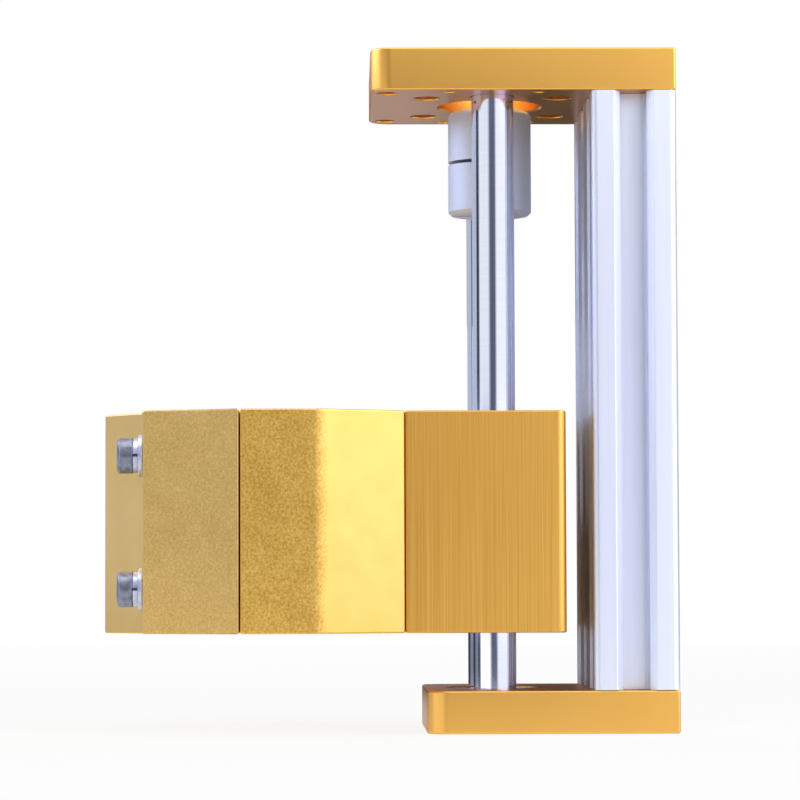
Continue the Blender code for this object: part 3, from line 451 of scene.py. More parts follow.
def blasted_gold(name, dark, light):
    """Bead-blasted skin of the clamp. The beads dent its flats, and glance off its sloping sides."""
    finish = Finish(name, light, 1, 0.42, **{"Specular Tint": (0.75, 0.7, 0.8, 1)})
    dents = finish.noise(0.55 * MM, detail=4, keep=0.6)
    drift = finish.noise(7 * MM, detail=3)
    glance = between(finish.tree, finish.facing("Y"), 0, 1, *BEADS_GLANCE)
    calm = between(finish.tree, drift, 0.45, 0.55)
    struck = finish.choose(glance, finish.choose(0.2, dents, drift), calm)
    finish.tint(struck, dark, light, 0.36, 0.64)
    finish.gloss(finish.noise(0.16 * MM), 0.36, 0.48)
    finish.emboss(struck, 0.08 * MM, 0.6)
    return finish.material


SATIN_GOLD = satin_gold()
BRUSHED_GOLD = brushed_gold()
CAP_GOLD = blasted_gold("blasted_gold_pale", (203, 165, 88), (237, 199, 122))
BRACKET_GOLD = blasted_gold("blasted_gold_deep", (209, 159, 67), (250, 208, 111))
print("gold finishes", SATIN_GOLD.name, BRUSHED_GOLD.name, CAP_GOLD.name, BRACKET_GOLD.name)

# %% [markdown]
# ## Silver, steel, brass and plastic
# The profile was drawn through a die, so its faint marks run along it. The rods were ground while they
# turned, so theirs run round. Zinc on screws is cloudy, and brass and the black seals are plain but
# never quite even. Each is one grain, drawn out its own way, that colour, gloss and relief all follow.

# %% Silver, steel, brass and plastic
# A grain is its size, how far it is drawn out along X, Y and Z, and its detail. Tints run from dark to
# light, gloss runs from smooth to rough, and a relief is its height and its strength.
DRAWN_ALUMINIUM = grained(
    "drawn_aluminium", colour=(236, 241, 254), metallic=0.72, roughness=0.35,
    grain=(0.5 * MM, (1, 1, 200), 3), tints=((234, 240, 253), (239, 243, 255)),
    gloss=(0.31, 0.37), relief=(0.004 * MM, 0.4), **{"Specular Tint": (0.3, 0.28, 0.3, 1)},
)
GROUND_STEEL = grained(
    "ground_steel", colour=(226, 229, 240), metallic=1, roughness=0.1,
    grain=(0.3 * MM, (30, 30, 1), 2), tints=((225, 228, 239), (229, 232, 243)), gloss=(0.085, 0.095),
)
ROLLED_STEEL = grained(
    "rolled_steel", colour=(176, 178, 184), metallic=1, roughness=0.26,
    grain=(1.5 * MM, (1, 1, 4), 2), tints=((160, 162, 170), (190, 192, 198)), gloss=(0.2, 0.34),
)
MATT_SILVER = grained(
    "matt_silver", colour=(206, 211, 222), metallic=0.6, roughness=0.5,
    grain=(0.3 * MM, (1, 1, 1), 2), tints=((200, 206, 218), (211, 217, 227)),
    gloss=(0.44, 0.56), relief=(0.012 * MM, 0.5),
)
BRASS = grained(
    "brass", colour=(206, 168, 92), metallic=1, roughness=0.28,
    grain=(0.4 * MM, (12, 12, 1), 2), tints=((192, 152, 78), (216, 180, 104)), gloss=(0.22, 0.36),
)
BLACK_POLYMER = grained(
    "black_polymer", colour=(34, 34, 37), metallic=0, roughness=0.5,
    grain=(0.4 * MM, (1, 1, 1), 3), tints=((28, 28, 31), (42, 42, 46)),
    gloss=(0.4, 0.6), relief=(0.01 * MM, 0.5),
)


def zinc(name, dark, light):
    """Cloudy zinc, whose gloss varies in finer spots than its colour."""
    finish = Finish(name, light, 1, 0.36)
    cloud = finish.noise(1.2 * MM, detail=3)
    finish.tint(cloud, dark, light)
    finish.gloss(finish.noise(0.4 * MM), 0.32, 0.42)
    finish.emboss(cloud, 0.01 * MM, 0.4)
    return finish.material


SCREW_ZINC = zinc("screw_zinc", (116, 120, 136), (152, 156, 171))
WASHER_ZINC = zinc("washer_zinc", (188, 193, 212), (216, 221, 238))
print("materials so far", len(bpy.data.materials))

# %% [markdown]
# ## Drawing outlines
# Every prism here, from a plate to the slotted profile, is an outline pushed straight up, and every
# round piece is an outline turned about an axis. A real outline has no knife edge: each corner has a
# small radius. So corners are written down with their radius, and one function turns them into points.

# %% Outlines with rounded corners
ARC_STEP = math.radians(7.5)


def arc(radius, centre, start, end, step=ARC_STEP):
    """Points along an arc, both ends included."""
    count = max(2, math.ceil(abs(end - start) / step))
    turns = [start + (end - start) * index / count for index in range(count + 1)]
    return [(centre[0] + radius * math.cos(at), centre[1] + radius * math.sin(at)) for at in turns]


def rounded_corner(before, corner, after, radius):
    """The arc that takes the place of one corner."""
    corner = Vector(corner)
    back = (Vector(before) - corner).normalized()
    onward = (Vector(after) - corner).normalized()
    half = back.angle(onward) / 2
    centre = corner + (back + onward).normalized() * radius / math.sin(half)
    first = corner + back * radius / math.tan(half) - centre
    last = corner + onward * radius / math.tan(half) - centre
    start = math.atan2(first.y, first.x)
    sweep = math.remainder(math.atan2(last.y, last.x) - start, math.tau)
    return arc(radius, centre, start, start + sweep)


def outline(corners, closed=True):
    """Points from corners (x, y) or (x, y, radius). An open outline keeps its two ends."""
    points = []
    for index, corner in enumerate(corners):
        inside = closed or 0 < index < len(corners) - 1
        if len(corner) == 3 and inside:
            after = corners[(index + 1) % len(corners)]
            points += rounded_corner(corners[index - 1][:2], corner[:2], after[:2], corner[2])
        else:
            points.append(tuple(corner[:2]))
    return points


def mirrored(corners):
    """The same corners at -X, in the order that closes the outline."""
    return [(-corner[0], *corner[1:]) for corner in reversed(corners)]


def inset(points, distance):
    """An anticlockwise outline with every side moved in by the distance."""
    moved = []
    for index, point in enumerate(points):
        before = (Vector(point) - Vector(points[index - 1])).normalized()
        after = (Vector(points[(index + 1) % len(points)]) - Vector(point)).normalized()
        inward = Vector((-before.y - after.y, before.x + after.x)).normalized()
        lean = inward.dot(Vector((-before.y, before.x)))
        moved.append(tuple(Vector(point) + inward * distance / lean))
    return moved


print("a square corner becomes", len(rounded_corner((0, 1), (0, 0), (1, 0), 5 * MM)), "points")

# %% [markdown]
# ## Slabs and turned pieces
# A slab takes an outline, the height of its two faces, a small edge radius and its holes. A hole is
# drawn as half of its own section, so a counterbore or a countersink costs one more point and no
# Boolean, and its rim is as clean as a lathe would leave it. Turned pieces use the same idea alone.

# %% Slabs and turned pieces
EDGE_STEPS = 3
HOLE_STEPS = 64
ROUND_STEPS = 96


def circle(radius, steps, centre=(0, 0)):
    """Points round a circle, the first half a step past +X."""
    turns = [(index + 0.5) * math.tau / steps for index in range(steps)]
    return [(centre[0] + radius * math.cos(at), centre[1] + radius * math.sin(at)) for at in turns]


def ring_of(shape, points, height):
    """The corners of one closed loop."""
    return [shape.verts.new((x, y, height)) for x, y in points]


def rim_of(shape, ring):
    """The edges of one closed loop."""
    pairs = zip(ring, ring[1:] + ring[:1])
    return [shape.edges.get(pair) or shape.edges.new(pair) for pair in pairs]


def wall(shape, lower, upper):
    """The band of faces between two closed loops."""
    for index in range(len(lower)):
        shape.faces.new((lower[index - 1], lower[index], upper[index], upper[index - 1]))


def slab(points, low, high, edge, holes=(), windows=()):
    """A prism with rounded outer edges. Each hole is (centre, section), with the section as points
    (radius, height) from the lower face up, and one that stops short of a face is blind. Windows are
    plain outlines."""
    shape = bmesh.new()
    levels = []
    for index in range(EDGE_STEPS + 1):
        lean = math.pi / 2 * index / EDGE_STEPS
        levels.append((edge * (1 - math.sin(lean)), edge * (1 - math.cos(lean))))
    rings = [ring_of(shape, inset(points, side), low + rise) for side, rise in levels]
    rings += [ring_of(shape, inset(points, side), high - rise) for side, rise in reversed(levels)]
    for lower, upper in zip(rings, rings[1:]):
        wall(shape, lower, upper)
    caps = {low: rim_of(shape, rings[0]), high: rim_of(shape, rings[-1])}
    for centre, section in holes:
        bores = [ring_of(shape, circle(radius, HOLE_STEPS, centre), height) for radius, height in section]
        for lower, upper in zip(bores, bores[1:]):
            wall(shape, lower, upper)
        for end, bore in ((section[0], bores[0]), (section[-1], bores[-1])):
            if end[1] in caps:
                caps[end[1]] += rim_of(shape, bore)
            else:
                shape.faces.new(bore)
    for window in windows:
        lower = ring_of(shape, window, low)
        upper = ring_of(shape, window, high)
        wall(shape, lower, upper)
        caps[low] += rim_of(shape, lower)
        caps[high] += rim_of(shape, upper)
    for rim in caps.values():
        bmesh.ops.triangle_fill(shape, use_beauty=True, edges=rim)
    bmesh.ops.recalc_face_normals(shape, faces=shape.faces)
    return shape


def turned(section, closed=False, steps=ROUND_STEPS):
    """A section of (radius, height) points turned about Z. An open one is closed by flat ends."""
    shape = bmesh.new()
    rings = [ring_of(shape, circle(radius, steps), height) for radius, height in section]
    uppers = rings[1:] + rings[:1] if closed else rings[1:]
    for lower, upper in zip(rings, uppers):
        wall(shape, lower, upper)
    if not closed:
        shape.faces.new(rings[0])
        shape.faces.new(rings[-1])
    bmesh.ops.recalc_face_normals(shape, faces=shape.faces)
    return shape


def moved(shape, offset=(0, 0, 0), facing=(0, 0, 1)):
    """Turns a shape's +Z to a direction and moves it."""
    lean = Vector((0, 0, 1)).rotation_difference(Vector(facing)).to_matrix().to_4x4()
    bmesh.ops.transform(shape, matrix=Matrix.Translation(offset) @ lean, verts=shape.verts)
    return shape


def drill(section_steps, chamfer, low, high):
    """A hole's section from (radius, from, to) steps, with a chamfer where it meets the faces."""
    section = []
    for radius, start, end in section_steps:
        if start == low:
            section += [(radius + chamfer, start), (radius, start + chamfer)]
        else:
            section.append((radius, start))
        if end == high:
            section += [(radius, end - chamfer), (radius + chamfer, end)]
        else:
            section.append((radius, end))
    return section


def ring_section(inner, outer, low, high, inner_edge, outer_edge):
    """The section of a plain ring, with its edges rounded."""
    return outline([
        (inner, low, inner_edge), (outer, low, outer_edge),
        (outer, high, outer_edge), (inner, high, inner_edge),
    ])


print("round pieces have", ROUND_STEPS, "sides and holes", HOLE_STEPS)

# %% [markdown]
# ## Finished pieces
# One function makes a shape into a piece: it shades it smooth except at real edges, weights the normals
# so that the big flat faces stay flat beside their rounded rims, gives it its finish, says which moving
# body it rides on and which plain solids it stands for. Cuts that no outline can draw, such as a screw
# hole across a block, are exact Booleans that are applied at once, so no tool object stays behind.

# %% From a shape to a piece
SHARP_ANGLE = math.radians(35)


def as_mesh(name, shape):
    mesh = bpy.data.meshes.new(name)
    shape.to_mesh(mesh)
    shape.free()
    return mesh


def as_object(name, mesh):
    thing = bpy.data.objects.new(name, mesh)
    scene.collection.objects.link(thing)
    return thing


def settled(thing):
    """The plain mesh that an object and its modifiers give."""
    bpy.context.view_layer.update()
    seen = thing.evaluated_get(bpy.context.evaluated_depsgraph_get())
    return bpy.data.meshes.new_from_object(seen)


def carved(shape, tools, operation="DIFFERENCE"):
    """The shape with the tool shapes cut from it, or joined to it, one after another."""
    work = as_object("work", as_mesh("work", shape))
    for tool in tools:
        cutter = as_object("cutter", as_mesh("cutter", tool))
        step = work.modifiers.new("cut", "BOOLEAN")
        step.operation = operation
        step.solver = "EXACT"
        step.object = cutter
        mesh = settled(work)
        work.modifiers.clear()
        work.data = mesh
        bpy.data.objects.remove(cutter)
    result = bmesh.new()
    result.from_mesh(work.data)
    bpy.data.objects.remove(work)
    return result


def add_piece(name, shape, finish, body, nodes):
    """Makes a shape a finished piece that rides on a body and stands for some CAD nodes."""
    mesh = shape if isinstance(shape, bpy.types.Mesh) else as_mesh(name, shape)
    mesh.shade_smooth()
    mesh.set_sharp_from_angle(angle=SHARP_ANGLE)
    if not mesh.materials:
        mesh.materials.append(finish)
    piece = as_object(name, mesh)
    weight = piece.modifiers.new("flat_faces", "WEIGHTED_NORMAL")
    weight.keep_sharp = True
    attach(piece, body)
    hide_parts(*nodes)
    print(name, len(mesh.polygons), "faces")
    return piece


print("edges sharper than", round(math.degrees(SHARP_ANGLE)), "degrees stay sharp")

# %% [markdown]
# ## End plates
# Each plate is milled from 10 mm stock: round front corners, a broken edge all round, and holes. Under
# the top plate the motor's bore, its four stepped screw holes and six small holes show. They are drawn
# as sections, because a Boolean of a plate with fourteen cutters leaves rims that no bevel can follow.

# %% Sizes that the plates share
PLATE_CORNER = 5 * MM
PLATE_EDGE = 0.5 * MM
REAR_CORNER = 0.6 * MM
HOLE_CHAMFER = 0.25 * MM
# The gap that is left where one piece fits into another.
FIT = 0.2 * MM
ROD_SOCKET_DEPTH = 6.8 * MM
ROD_SCREW_HOLE = 4.4 * MM
ROD_SCREW_SINK = 8 * MM
ROD_SCREW_SINK_DEPTH = 2.1 * MM
PROFILE_SCREW_HOLE = 5.4 * MM
PROFILE_SCREW_SINK = 8.9 * MM
PROFILE_SCREW_SINK_DEPTH = 5.2 * MM

ROD_LOW, ROD_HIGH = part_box("guide_rod_right")
ROD_X = (ROD_LOW.x + ROD_HIGH.x) / 2
ROD_RADIUS = 5 * MM
PROFILE_LOW, PROFILE_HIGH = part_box("rear_profile")
PROFILE_Y = (PROFILE_LOW.y + PROFILE_HIGH.y) / 2
CELL = PROFILE_HIGH.y - PROFILE_LOW.y
CELL_CENTRES = [PROFILE_LOW.x + CELL * (index + 0.5) for index in range(3)]
print("rods at", round(ROD_X, 4), "cell", round(CELL, 4))


def plate_outline(low, high):
    """Round front corners and nearly square rear ones."""
    return outline([
        (low.x, low.y, PLATE_CORNER), (high.x, low.y, PLATE_CORNER),
        (high.x, high.y, REAR_CORNER), (low.x, high.y, REAR_CORNER),
    ])


def joint_holes(inner, outer):
    """Sockets for the rods and sunk holes for the profile's screws, from the inner to the outer face."""
    way = 1 if outer > inner else -1
    socket, hole = ROD_RADIUS + FIT, ROD_SCREW_HOLE / 2
    floor = inner + way * ROD_SOCKET_DEPTH
    rod = [
        (socket, inner), (socket, floor), (hole, floor),
        (hole, outer - way * ROD_SCREW_SINK_DEPTH), (ROD_SCREW_SINK / 2, outer),
    ]
    hole, sink = PROFILE_SCREW_HOLE / 2, PROFILE_SCREW_SINK / 2
    seat = outer - way * PROFILE_SCREW_SINK_DEPTH
    bolt = [
        (hole, inner), (hole, seat), (sink, seat),
        (sink, outer - way * HOLE_CHAMFER), (sink + HOLE_CHAMFER, outer),
    ]
    return [((x, 0), rod) for x in (-ROD_X, ROD_X)] + [((x, PROFILE_Y), bolt) for x in CELL_CENTRES]


# %% The top plate
MOTOR_BORE = 24.6 * MM
MOTOR_BORE_CHAMFER = 0.4 * MM
MOTOR_HOLE_SPACING = 31 * MM
MOTOR_HOLE = 3.4 * MM
MOTOR_HEAD_HOLE = 6.2 * MM
MOTOR_HEAD_DEPTH = 3.2 * MM
END_HOLE = 4.6 * MM
END_HOLE_SPACING = 47 * MM
END_HOLE_SETBACK = 4 * MM
SWITCH_HOLE = 2.6 * MM
SWITCH_HOLE_SPACING = Vector((52 * MM, 21 * MM))


def pairs(width, depth, y=0.0):
    """Four places round the screw's axis, or two if the depth is nought."""
    rows = (-depth / 2, depth / 2) if depth else (0,)
    return [(side * width / 2, y + row) for side in (-1, 1) for row in rows]


def make_top_plate():
    low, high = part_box("top_plate")
    under, over = low.z, high.z
    seat = under + MOTOR_HEAD_DEPTH
    motor = [(MOTOR_HEAD_HOLE / 2, under, seat), (MOTOR_HOLE / 2, seat, over)]
    end = [(END_HOLE / 2, under, over)]
    switch = [(SWITCH_HOLE / 2, under, over)]
    holes = [((0, 0), drill([(MOTOR_BORE / 2, under, over)], MOTOR_BORE_CHAMFER, under, over))]
    for steps, places in (
        (motor, pairs(MOTOR_HOLE_SPACING, MOTOR_HOLE_SPACING)),
        (end, pairs(END_HOLE_SPACING, 0, low.y + END_HOLE_SETBACK)),
        (switch, pairs(*SWITCH_HOLE_SPACING)),
    ):
        holes += [(place, drill(steps, HOLE_CHAMFER, under, over)) for place in places]
    holes += joint_holes(under, over)
    shape = slab(plate_outline(low, high), under, over, PLATE_EDGE, holes)
    add_piece("plate_top", shape, SATIN_GOLD, "frame", ["top_plate"])


make_top_plate()

# %% The bottom plate
BEARING_OUTER = 22 * MM
BEARING_INNER = 12 * MM
BEARING_WIDTH = 7 * MM
BEARING_RELIEF = 0.8 * MM


def make_bottom_plate():
    low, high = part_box("bottom_plate")
    seat = high.z - BEARING_WIDTH - FIT
    relief, pocket = (BEARING_OUTER + BEARING_INNER) / 4, BEARING_OUTER / 2 + FIT
    holes = [((0, 0), [(relief, seat - BEARING_RELIEF), (relief, seat), (pocket, seat), (pocket, high.z)])]
    holes += [(centre, list(reversed(section))) for centre, section in joint_holes(high.z, low.z)]
    shape = slab(plate_outline(low, high), low.z, high.z, PLATE_EDGE, holes)
    add_piece("plate_bottom", shape, SATIN_GOLD, "frame", ["bottom_plate"])


make_bottom_plate()

# %% [markdown]
# ## Slotted profile
# The back of the slide is a length of extruded aluminium with three square cells. Every cell has a
# tapped core held by diagonal webs, and each open side is a slot with sloping lips. One slot is drawn
# once, in its own across and inward directions, and laid round the outline eight times. The die leaves
# a small radius on each edge, which is what catches the light along the slots.

# %% The slotted profile
SLOT_MOUTH = 9.2 * MM
SLOT_THROAT = 6.2 * MM
SLOT_LIP = 1.8 * MM
SLOT_CAVITY = 11 * MM
CORE_WIDTH = 7.8 * MM
WEB_THICKNESS = 1.5 * MM
PROFILE_CORNER = 1.5 * MM
LIP_RADIUS = 0.25 * MM
SAW_EDGE = 0.1 * MM


def slot_corners(centre, surface, outward, along):
    """One slot, as corners in the order in which the outline is drawn."""
    web = WEB_THICKNESS / math.sqrt(2)
    half_core = CORE_WIDTH / 2
    half = [
        (SLOT_MOUTH / 2, 0),
        (SLOT_THROAT / 2, (SLOT_MOUTH - SLOT_THROAT) / 2),
        (SLOT_THROAT / 2, SLOT_LIP),
        (SLOT_CAVITY / 2, SLOT_LIP),
        (SLOT_CAVITY / 2, CELL / 2 - SLOT_CAVITY / 2 - web),
        (half_core - web, CELL / 2 - half_core),
    ]
    both = [(-width, depth) for width, depth in half] + [(width, depth) for width, depth in reversed(half)]
    origin = Vector(along) * centre + Vector(outward) * surface
    places = [origin + Vector(along) * width - Vector(outward) * depth for width, depth in both]
    radii = [LIP_RADIUS, LIP_RADIUS / 2, LIP_RADIUS / 2, LIP_RADIUS, LIP_RADIUS, LIP_RADIUS]
    return [(place.x, place.y, radius) for place, radius in zip(places, radii + radii[::-1])]


def profile_corners():
    """The outside of the profile round its own centre, anticlockwise from the front left corner."""
    half = Vector((PROFILE_HIGH.x, CELL / 2))
    sides = [
        ((-half.x, -half.y), CELL_CENTRES, half.y, (0, -1), (1, 0)),
        ((half.x, -half.y), [0], half.x, (1, 0), (0, 1)),
        ((half.x, half.y), CELL_CENTRES, half.y, (0, 1), (-1, 0)),
        ((-half.x, half.y), [0], half.x, (-1, 0), (0, -1)),
    ]
    corners = []
    for corner, centres, surface, outward, along in sides:
        corners.append((*corner, PROFILE_CORNER))
        for centre in centres:
            corners += slot_corners(centre, surface, outward, along)
    return corners


def hollow_corners(centre):
    """The hollow between two cells, bounded by their cores, webs and outer walls."""
    web = WEB_THICKNESS / math.sqrt(2)
    core = CORE_WIDTH / 2
    outer_wall = CELL / 2 - SLOT_LIP
    quarter = [
        (CELL / 2 - core, core - web, LIP_RADIUS), (CELL / 2 - outer_wall - web, outer_wall, LIP_RADIUS),
    ]
    half = quarter + mirrored(quarter)
    return [(centre + x, y, r) for x, y, r in half] + [(centre + x, -y, r) for x, y, r in reversed(half)]


def make_profile():
    low, high = PROFILE_LOW.z, PROFILE_HIGH.z
    core = [(PROFILE_SCREW_HOLE / 2, low), (PROFILE_SCREW_HOLE / 2, high)]
    cores = [((centre, 0), core) for centre in CELL_CENTRES]
    hollows = [outline(hollow_corners(centre + CELL / 2)) for centre in CELL_CENTRES[:-1]]
    shape = slab(outline(profile_corners()), low, high, SAW_EDGE, cores, hollows)
    moved(shape, (0, PROFILE_Y, 0))
    add_piece("slotted_profile", shape, DRAWN_ALUMINIUM, "frame", ["rear_profile"])


make_profile()

# %% [markdown]
# ## Guide rods
# Hardened and ground rods, held at both ends in blind sockets. Nothing about them is hard to model: a
# straight turned piece with its ends broken. What makes them read as ground steel is the number of
# sides, because a mirror shows every flat, and the reflections of the dark cards.

# %% Guide rods
ROD_CHAMFER = 0.6 * MM
ROD_STEPS = 160


def make_rods():
    for side, node in ((-1, "guide_rod_left"), (1, "guide_rod_right")):
        low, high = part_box(node)
        rim, foot, head = ROD_RADIUS - ROD_CHAMFER, low.z + ROD_CHAMFER, high.z - ROD_CHAMFER
        section = [(rim, low.z), (ROD_RADIUS, foot), (ROD_RADIUS, head), (rim, high.z)]
        shape = moved(turned(section, steps=ROD_STEPS), (side * ROD_X, 0, 0))
        add_piece(node.replace("guide_", ""), shape, GROUND_STEEL, "frame", [node])


make_rods()

# %% [markdown]
# ## Lead screw
# The screw has a trapezoidal thread with two starts, so one turn lifts the nut by two pitches. A thread
# is a rule: the radius depends only on how far a point is along the helix. Geometry Nodes state that
# rule on a flat grid, whose columns go round the screw and whose rows follow the helix, and weld the
# seam. Then the ends are sawn square. A swept triangle would leave the tooth loose on its core.

# %% Nodes that follow a rule
class Rule:
    """A Geometry Nodes tree with named inputs, written one node at a time."""

    def __init__(self, name):
        self.tree = bpy.data.node_groups.new(name, "GeometryNodeTree")
        self.source = self.tree.nodes.new("NodeGroupInput")
        self.keys = {}

    def input(self, name, kind):
        """Adds a named input and returns its output socket."""
        socket = self.tree.interface.new_socket(name=name, in_out="INPUT", socket_type=f"NodeSocket{kind}")
        self.keys[name] = socket.identifier
        return self.source.outputs[name]

    def add(self, kind, feeds=(), out=0, **settings):
        return add_node(self.tree, kind, feeds, out, **settings)

    def math(self, operation, *values):
        return calculate(self.tree, operation, *values)

    def place(self):
        """The three parts of each point's place."""
        place = self.add("GeometryNodeInputPosition")
        return list(self.add("ShaderNodeSeparateXYZ", [place]).node.outputs)

    def finish(self, geometry, material):
        """Ends the tree with real geometry and its finish."""
        real = self.add("GeometryNodeRealizeInstances", [geometry])
        dressed = self.add("GeometryNodeSetMaterial", (real, None, material))
        self.tree.interface.new_socket(name="Geometry", in_out="OUTPUT", socket_type="NodeSocketGeometry")
        self.tree.links.new(dressed, self.tree.nodes.new("NodeGroupOutput").inputs[0])


def grown(rule, base, values):
    """The plain mesh that a rule gives on a base mesh with these input values."""
    thing = as_object("grown", base)
    modifier = thing.modifiers.new("rule", "NODES")
    modifier.node_group = rule.tree
    for name, value in values.items():
        modifier[rule.keys[name]] = value
    mesh = settled(thing)
    thing.modifiers.clear()
    bpy.data.objects.remove(thing)
    return mesh


# %% The thread
THREAD_PITCH = 2 * MM
THREAD_STARTS = 2
THREAD_DEPTH = 1 * MM
# Where a flank begins and ends, in pitches from the middle of the groove.
THREAD_FLANK = (0.17, 0.31)
THREAD_COLUMNS = 40
THREAD_ROWS = 14
THREAD_WELD = 0.01 * MM
SAW_CLOSENESS = MM / 10000
SAWN_CLOSENESS = MM / 1000
SCREW_RADIUS = 4 * MM


def thread_rule():
    rule = Rule("trapezoid_thread")
    rule.input("Geometry", "Geometry")
    radius, depth, pitch, starts, length = (
        rule.input(name, "Float") for name in ("Radius", "Depth", "Pitch", "Starts", "Length")
    )
    columns, rows = (rule.input(name, "Int") for name in ("Columns", "Rows"))
    finish = rule.input("Finish", "Material")
    grid = rule.add("GeometryNodeMeshGrid", (1.0, 1.0, columns, rows))
    across, up, _ = rule.place()
    round_share = rule.math("ADD", across, 0.5)
    along = rule.math("MULTIPLY", up, length)
    wave = rule.math("PINGPONG", rule.math("DIVIDE", along, pitch), 0.5)
    tooth = between(rule.tree, wave, 0, 1, *THREAD_FLANK)
    lift = rule.math("MULTIPLY", rule.math("SUBTRACT", tooth, 1), depth)
    reach = rule.math("ADD", radius, lift)
    angle = rule.math("MULTIPLY", round_share, math.tau)
    lead = rule.math("MULTIPLY", pitch, starts)
    rise = rule.math("ADD", along, rule.math("MULTIPLY", lead, round_share))
    x = rule.math("MULTIPLY", reach, rule.math("COSINE", angle))
    y = rule.math("MULTIPLY", reach, rule.math("SINE", angle))
    bent = rule.add("GeometryNodeSetPosition", (grid, None, rule.add("ShaderNodeCombineXYZ", (x, y, rise))))
    welded = rule.add("GeometryNodeMergeByDistance", {"Geometry": bent, "Distance": THREAD_WELD})
    rule.finish(welded, finish)
    return rule


def make_lead_screw():
    low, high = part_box("lead_screw")
    teeth = math.ceil((high.z - low.z) / THREAD_PITCH) + 2 * THREAD_STARTS
    mesh = grown(thread_rule(), bpy.data.meshes.new("blank"), {
        "Radius": SCREW_RADIUS, "Depth": THREAD_DEPTH, "Pitch": THREAD_PITCH, "Starts": float(THREAD_STARTS),
        "Length": teeth * THREAD_PITCH, "Columns": THREAD_COLUMNS + 1, "Rows": teeth * THREAD_ROWS + 1,
        "Finish": ROLLED_STEEL,
    })
    shape = bmesh.new()
    shape.from_mesh(mesh)
    middle = (low.z + high.z) / 2 - THREAD_PITCH * THREAD_STARTS / 2
    bmesh.ops.translate(shape, verts=shape.verts, vec=(0, 0, middle))
    for height, outward in ((low.z, -1), (high.z, 1)):
        bmesh.ops.bisect_plane(
            shape, geom=list(shape.verts) + list(shape.edges) + list(shape.faces), dist=SAW_CLOSENESS,
            plane_co=(0, 0, height), plane_no=(0, 0, outward), clear_outer=True,
        )
        rim = [
            edge for edge in shape.edges
            if edge.is_boundary and abs(edge.verts[0].co.z - height) < SAWN_CLOSENESS
        ]
        bmesh.ops.triangle_fill(shape, use_beauty=True, edges=rim)
    bmesh.ops.recalc_face_normals(shape, faces=shape.faces)
    add_piece("drive_screw", shape, ROLLED_STEEL, "screw", ["lead_screw"])


make_lead_screw()

# %% [markdown]
# ## Coupling
# A clamp coupling joins the lead screw to the motor's thinner shaft. It is a short turned cylinder that
# is slotted along one side and slit across its middle, so each half can be pinched by its own screw.
# The body is turned here, and the slot, the slit and the screw holes are cut from it like the real ones.

# %% The coupling
COUPLING_RADIUS = 10 * MM
COUPLING_CHAMFER = 0.8 * MM
COUPLING_EDGE = 0.3 * MM
COUPLING_SLIT = 0.8 * MM
COUPLING_SLIT_PAST_AXIS = 3 * MM
COUPLING_SLOT = 1 * MM
MOTOR_SHAFT = 5 * MM
CROSS_SCREW_OFFSET = 6.3 * MM
CROSS_SCREW_HOLE = 2.9 * MM
CROSS_SCREW_SINK = 4.9 * MM
CROSS_SCREW_SEAT = 3.4 * MM
CROSS_SCREW_DEPTH = 8.4 * MM
# How far a cutting tool reaches past what it cuts.
PAST = 2 * MM


def block(low, high):
    """A plain box between two corners, as a cutting tool."""
    shape = bmesh.new()
    bmesh.ops.create_cube(shape, size=1)
    low, high = Vector(low), Vector(high)
    size = Matrix.Diagonal((*(high - low), 1))
    bmesh.ops.transform(shape, matrix=Matrix.Translation((low + high) / 2) @ size, verts=shape.verts)
    return shape


def make_coupling():
    low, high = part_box("coupling")
    bottom, top = low.z, high.z
    middle = (bottom + top) / 2
    lower, upper = SCREW_RADIUS + FIT, MOTOR_SHAFT / 2
    rim = COUPLING_RADIUS - COUPLING_CHAMFER
    edge, low_rim, high_rim = COUPLING_EDGE, bottom + COUPLING_CHAMFER, top - COUPLING_CHAMFER
    section = outline([
        (lower, bottom, edge), (rim, bottom, edge), (COUPLING_RADIUS, low_rim, edge),
        (COUPLING_RADIUS, high_rim, edge), (rim, top, edge), (upper, top, edge),
        (upper, middle), (lower, middle),
    ])
    slot, slit, reach = COUPLING_SLOT / 2, COUPLING_SLIT / 2, COUPLING_RADIUS + PAST
    tools = [
        block((-slot, -reach, bottom - PAST), (slot, 0, top + PAST)),
        block((-reach, -reach, middle - slit), (reach, COUPLING_SLIT_PAST_AXIS, middle + slit)),
    ]
    hole, sink = CROSS_SCREW_HOLE / 2, CROSS_SCREW_SINK / 2
    bore = [(hole, -CROSS_SCREW_DEPTH), (hole, 0), (sink, 0), (sink, COUPLING_RADIUS)]
    for way in (-1, 1):
        seat = (-CROSS_SCREW_SEAT, -CROSS_SCREW_OFFSET, middle + way * (top - bottom) / 4)
        tools.append(moved(turned(bore, steps=HOLE_STEPS), seat, (-1, 0, 0)))
    shape = carved(turned(section, closed=True), tools)
    add_piece("clamp_coupling", shape, MATT_SILVER, "screw", ["coupling"])


make_coupling()

# %% [markdown]
# ## Lower bearing
# A small shielded ball bearing sits in the bottom plate and carries the lead screw. Only its face shows:
# the outer ring, a pressed shield set a little below it, and the inner ring that turns with the screw.
# Two turned sections give all of that, so the balls, which nobody can see, are left out.

# %% The lower bearing
SHIELD_DROP = 0.35 * MM
RACE_WIDTH = 1.7 * MM
RING_EDGE = 0.3 * MM


